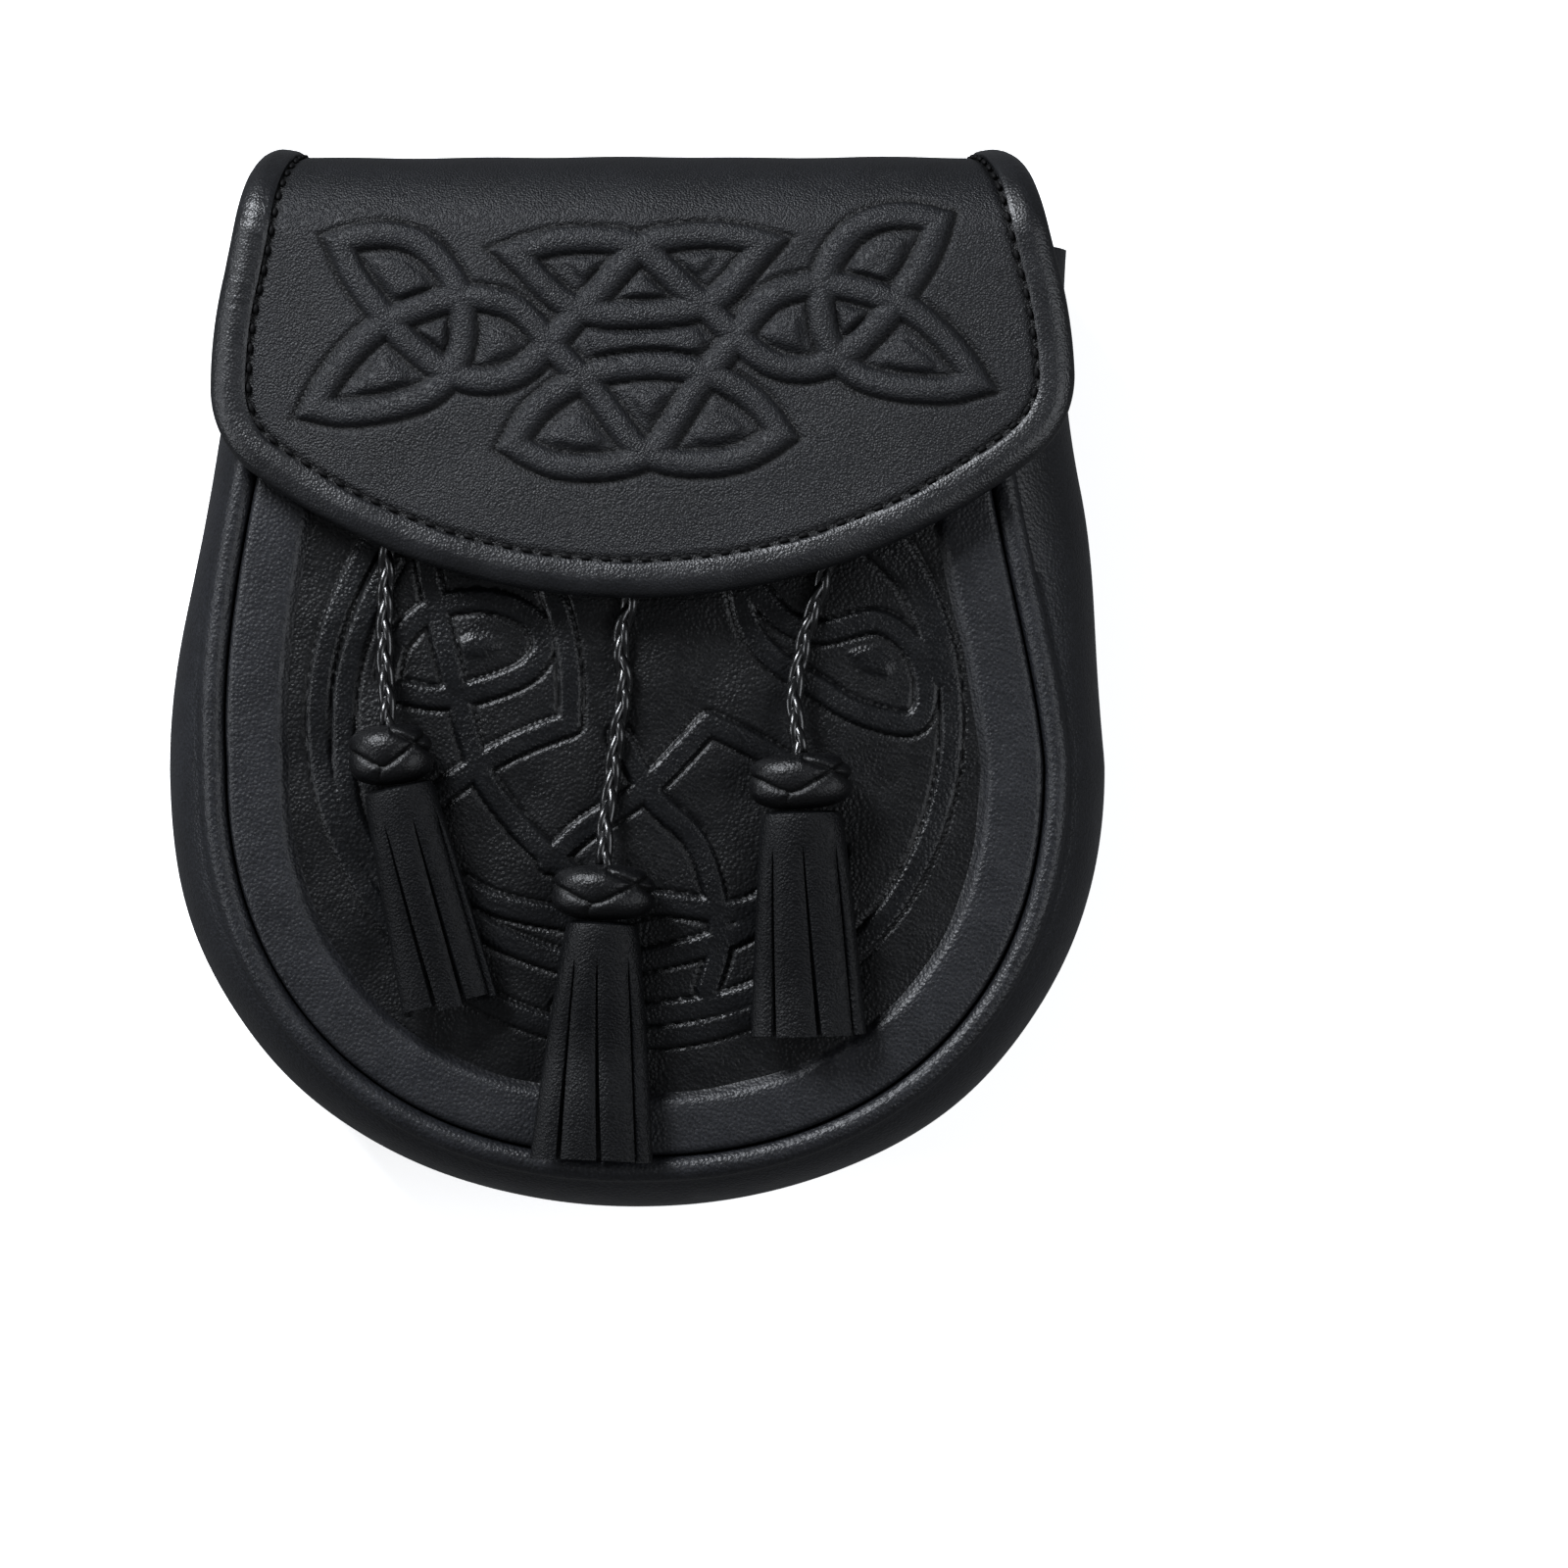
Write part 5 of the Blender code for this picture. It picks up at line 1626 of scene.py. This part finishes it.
@dataclass
class Tassel:
    """One tassel: a plaited cord, a woven knot and a skirt of leather strips.

    Attributes:
        plan: its place and sizes.
        shop: makes the pieces.
        finishes: the materials.
        body: the body that it lies on.
    """

    plan: TasselPlan
    shop: Workshop
    finishes: Finishes
    body: PouchBody
    cord_diameter: float = 0.0032
    cord_clearance: float = 0.0004
    knot_depth: float = 0.0126
    skirt_gap: float = 0.0008
    skirt_lift: float = 0.0006
    neck_depth: float = 0.0090
    hem_depth: float = 0.0070
    ornament_rise: float = 0.0006
    strands: int = 3
    strand_radius: float = 0.00082
    strand_fullness: float = 1.08
    strand_sides: int = 10
    plait_pitch: float = 0.0188
    plait_rise: float = 0.78
    knot_sides: int = 132
    knot_rings: int = 56
    knot_fullness: float = 0.36
    hole_fit: float = 0.0002
    wrap_rise: float = 0.0009
    crease_width: float = 0.0006
    strip_thickness: float = 0.0012
    collar_share: float = 0.13
    collar_fade: float = 0.08
    slit_top: float = 0.00010
    slit_widening: float = 0.00042
    edge_narrowing: float = 0.0004
    edge_thinning: float = 0.0007
    least_depth: float = 0.0006

    def panel_height(self, x: float, y: float) -> float:
        """The height of the front under a place, without its ornament."""
        place = np.array([[x, y]])
        inside = float(self.body.inside(place)[0]) - self.body.panel_edge - self.body.rim_width
        if inside < 0.0:
            return self.body.rim_z
        step = float(ease(np.array([inside / self.body.recess_slope]))[0])
        dome = self.body.field_dome * (1.0 - math.exp(-inside / self.body.dome_reach))
        return self.body.rim_z + step * (dome - self.body.recess_depth)

    def resting_height(self, centre: np.ndarray, across: np.ndarray, half_width: float) -> float:
        """The highest point of the front under a row of the tassel."""
        shares = (-1.0, -0.5, 0.0, 0.5, 1.0)
        heights = [self.panel_height(*(centre + s * half_width * across)) for s in shares]
        return max(heights) + self.ornament_rise

    def knot_frame(self) -> tuple[np.ndarray, np.ndarray]:
        """The knot's middle, and the direction of its hole."""
        head = np.array(self.plan.head)
        lean = math.radians(self.plan.knot_lean)
        axis = np.array([math.sin(lean), -math.cos(lean)])
        across = np.array([-axis[1], axis[0]])
        rest = self.resting_height(head, across, 0.3 * self.plan.knot)
        height = rest - self.ornament_rise + self.cord_clearance + self.knot_depth / 2.0
        return np.array([*head, height]), np.array([*axis, 0.0])

    def cord_line(self) -> np.ndarray:
        """The middle of the cord, from inside the pouch to inside the knot."""
        route = [(x, y, self.panel_height(x, y) + above) for x, y, above in self.plan.route]
        middle, axis = self.knot_frame()
        half = self.plan.knot_height / 2.0
        route += [middle - (half + share * half) * axis for share in (0.4, -0.3, -1.3)]
        return curve_through(np.array(route), 0.0004)

    def make_cord(self) -> tuple[bpy.types.Object, np.ndarray]:
        """Plait the cord out of three strands.

        Returns:
            The cord, and the points that it follows.
        """
        line = self.cord_line()
        side, rise = frames_along(line)
        run = run_along(line)
        parts = []
        wide = self.cord_diameter / 2.0 - self.strand_radius
        for k in range(self.strands):
            phase = 2.0 * math.pi * (run / self.plait_pitch + k / self.strands)
            spots = (line + (wide * np.sin(phase))[:, None] * side
                     + (self.plait_rise * wide * np.sin(2.0 * phase))[:, None] * rise)
            parts.append(tube(spots, self.strand_radius * self.strand_fullness,
                              self.strand_sides))
        points, faces = joined(parts)
        made = self.shop.piece(f"{self.plan.name}_braid", points, faces, self.finishes.braid)
        self.shop.wear(made, Slot.BRAID, f"{self.plan.name}_cord")
        return made, line + self.shop.shift

    def make_knot(self) -> bpy.types.Object:
        """Weave the knot: a flattened bead under two crossing wraps of leather."""
        middle, axis = self.knot_frame()
        across = np.array([-axis[1], axis[0], 0.0])
        up = np.array([0.0, 0.0, 1.0])
        count, rings = self.knot_sides, self.knot_rings
        turn = np.linspace(0.0, 2.0 * math.pi, count, endpoint=False)
        hole = self.cord_diameter / 2.0 + self.hole_fit
        outer, tones = [], []
        for share in np.linspace(-1.0, 1.0, rings):
            bulk = (1.0 - abs(share) ** 3.0) ** self.knot_fullness
            x = np.cos(turn)
            # The wraps crease along one round fold, a split past it and a tuck at one side.
            fold = 0.50 - 0.95 * np.sqrt((x + 0.2) ** 2 + 0.02)
            split = -0.2 - 0.45 * (share - 0.3)
            tuck = -0.85 + 0.9 * np.clip(x - 0.05, 0.0, 1.0)
            apart = np.abs(share - fold) * self.plan.knot_height * 0.4
            seam = np.where(share > fold, np.abs(x - split) * self.plan.knot / 2.0, 1.0)
            edge = np.where(x > 0.05, np.abs(share - tuck) * self.plan.knot_height / 2.0, 1.0)
            apart = np.minimum(np.minimum(apart, seam), edge)
            best = 1.0 - 1.2 * np.exp(-apart / self.crease_width) + 0.25 * (share < fold)
            rise, swell = self.wrap_rise, self.wrap_rise * best
            wide = np.maximum(hole, bulk * (self.plan.knot / 2.0 - rise) + swell * bulk)
            deep = np.maximum(hole, bulk * (self.knot_depth / 2.0 - rise) + swell * bulk)
            centre = middle + share * self.plan.knot_height / 2.0 * axis
            outer.append(centre + (np.cos(turn) * wide)[:, None] * across
                         + (np.sin(turn) * deep)[:, None] * up)
            # The tone paints shade into the creases and highlight onto the raised wraps.
            tones.append(np.clip(1.5 * best - 0.9, -1.0, 1.0))
        inner = [middle + share * self.plan.knot_height / 2.0 * axis
                 + hole * (np.cos(turn)[:, None] * across + np.sin(turn)[:, None] * up) * 0.98
                 for share in np.linspace(-1.0, 1.0, rings)]
        points, faces = wall(np.array(outer), np.array(inner), True)
        relief = np.concatenate([np.concatenate(tones), np.zeros(rings * count)])
        made = self.shop.piece(f"{self.plan.name}_knot_woven", points, faces, self.finishes.knot,
                               relief)
        return self.shop.wear(made, Slot.BRAID, f"{self.plan.name}_knot")

    def level(self, share: float) -> tuple[np.ndarray, np.ndarray, float, float]:
        """The middle, the direction across, the width and the depth that far down the skirt."""
        head, foot = np.array(self.plan.head), np.array(self.plan.foot)
        length = float(np.linalg.norm(foot - head))
        along = (foot - head) / length
        start = self.plan.knot_height / 2.0 + self.skirt_gap
        width = self.plan.neck + (self.plan.hem - self.plan.neck) * max(share, 0.0) ** 0.8
        depth = self.neck_depth + (self.hem_depth - self.neck_depth) * share
        centre = head + (start + share * (length - start)) * along
        return centre, np.array([-along[1], along[0]]), width, depth

    def row_heights(self) -> tuple[np.ndarray, np.ndarray]:
        """The shares down the skirt where its height is settled, and the heights."""
        shares = np.array([0.0, 0.1, 0.3, 0.53, 0.76, 1.0])
        top_height = self.knot_frame()[0][2]
        heights = []
        for share in shares:
            centre, across, width, depth = self.level(share)
            rest = self.resting_height(centre, across, width / 2.0) + self.skirt_lift
            rest += depth / 2.0
            fall = float(ease(np.array([share / 0.75]))[0])
            heights.append(max(top_height + (rest - top_height) * fall, rest))
        fine = curve_through(np.column_stack([shares, heights]), 0.02)
        return fine[:, 0], fine[:, 1]

    def row(self, share: float) -> tuple[np.ndarray, float, float]:
        """The middle, half-width and half-depth of the skirt that far down, from 0 to 1."""
        centre, _, width, depth = self.level(share)
        height = float(np.interp(share, *self.settled))
        return np.array([*centre, height]), width / 2.0, depth / 2.0

    def make_skirt(self) -> bpy.types.Object:
        """Make the skirt: strips cut from one piece of leather under an uncut collar."""
        self.settled = self.row_heights()
        head, foot = np.array(self.plan.head), np.array(self.plan.foot)
        along = (foot - head) / np.linalg.norm(foot - head)
        across = np.array([-along[1], along[0], 0.0])
        along3 = np.array([*along, 0.0])
        up = np.array([0.0, 0.0, 1.0])
        length = float(np.linalg.norm(foot - head)) - self.plan.knot_height / 2.0
        stops = [(-1.0, -1.0), *self.plan.slits, (1.0, 1.0)]
        strips = [(a, b, 1.0) for a, b in zip(stops[:-1], stops[1:])]
        rear = ((-1.0, -1.0), (-0.5, -0.45), (0.05, 0.0), (0.55, 0.5), (1.0, 1.0))
        strips += [(a, b, -1.0) for a, b in zip(rear[:-1], rear[1:])]
        draw = np.random.default_rng(40 + len(self.plan.name))
        shares = np.concatenate([[-0.010, 0.0], np.linspace(0.02, 1.0, 26)])
        frames = [self.row(float(share)) for share in shares]
        parts = []
        for start, end, facing in strips:
            longer, lift = draw.uniform(-0.0010, 0.0003), draw.uniform(-0.0002, 0.0004)
            curl = draw.uniform(-0.0003, 0.0003)
            outer, inner = [], []
            for share, (centre, half, deep) in zip(shares, frames):
                drop = max(float(share), 0.0)
                low = start[0] + (start[1] - start[0]) * drop
                high = end[0] + (end[1] - end[0]) * drop
                open_share = (drop - self.collar_share) / self.collar_fade
                cut = float(ease(np.array([open_share]))[0])
                gap = cut * (self.slit_top + self.slit_widening * drop) / half
                low = low + gap if abs(low) < 1.0 else low
                high = high - gap if abs(high) < 1.0 else high
                places = np.linspace(math.acos(max(-1.0, low)), math.acos(min(1.0, high)), 9)
                size = 0.80 if share < -0.005 else 0.97 if share < 0.01 else 1.0
                ends = cut * np.array([0.55, 0.15, 0.0, 0.0, 0.0, 0.0, 0.0, 0.15, 0.55])
                base = centre + (longer * drop ** 6) * along3
                wave = lift * drop ** 2 + cut * curl * math.sin(7.0 * drop + 3.0 * start[0])
                for layer, depth in ((outer, 0.0), (inner, self.strip_thickness)):
                    rounded = ends * (depth == 0.0)
                    w = size * half - depth - self.edge_narrowing * rounded
                    d = size * deep - depth - self.edge_thinning * rounded + wave
                    d = np.maximum(d, self.least_depth)
                    layer.append(base + (np.cos(places) * w)[:, None] * across
                                 + (facing * np.sin(places) * d)[:, None] * up)
            parts.append(wall(np.array(outer), np.array(inner)))
        turn = np.linspace(0.0, 2.0 * math.pi, 64, endpoint=False)
        outer, inner = [], []
        for drop, size in ((0.0, 0.0), (0.0, 0.72), (0.0004, 0.88), (0.0012, 0.93),
                           (0.0025, 0.92), (0.0034, 0.90)):
            middle, wide, thick = self.row(drop / length)
            ring = (np.cos(turn)[:, None] * across * wide + np.sin(turn)[:, None] * up * thick)
            outer.append(middle + size * ring)
            inner.append(middle + self.strip_thickness * along3 + 0.75 * min(size, 0.9) * ring)
        parts.append(wall(np.array(outer), np.array(inner), True))
        points, faces = joined(parts)
        made = self.shop.piece(f"{self.plan.name}_skirt", points, faces, self.finishes.skirt,
                               sharp=38.0)
        return self.shop.wear(made, Slot.SKIRT, f"{self.plan.name}_tassel")

    def build(self) -> None:
        """Make the tassel: its cord, its knot and its skirt."""
        braid, path = self.make_cord()
        knot = self.make_knot()
        skirt = self.make_skirt()


def main() -> None:
    """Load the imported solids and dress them, piece by piece."""
    logging.basicConfig(level=logging.INFO, format="%(name)s: %(message)s")
    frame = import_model()
    low, high = (np.array(corner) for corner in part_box("closure_stud"))
    shift = np.array([(low[0] + high[0]) / 2.0, (low[1] + high[1]) / 2.0 - 0.042, 0.0])
    studio = Studio(shift)
    studio.camera()
    studio.floor()
    studio.light()
    finishes = Finishes.mixed()
    shop = Workshop(shift)
    body = PouchBody(shop, finishes)
    for plan in TASSELS:
        Tassel(plan, shop, finishes, body).build()
        LOG.info("%s tassel done", plan.name)
    body.build()
    FrontField(shop, finishes, body).build()
    Flap(shop, finishes).build()
    stud = frame["nodes"]["closure_stud"]
    for socket in stud.material_slots:
        socket.material = finishes.stud


if __name__ == "__main__":
    main()
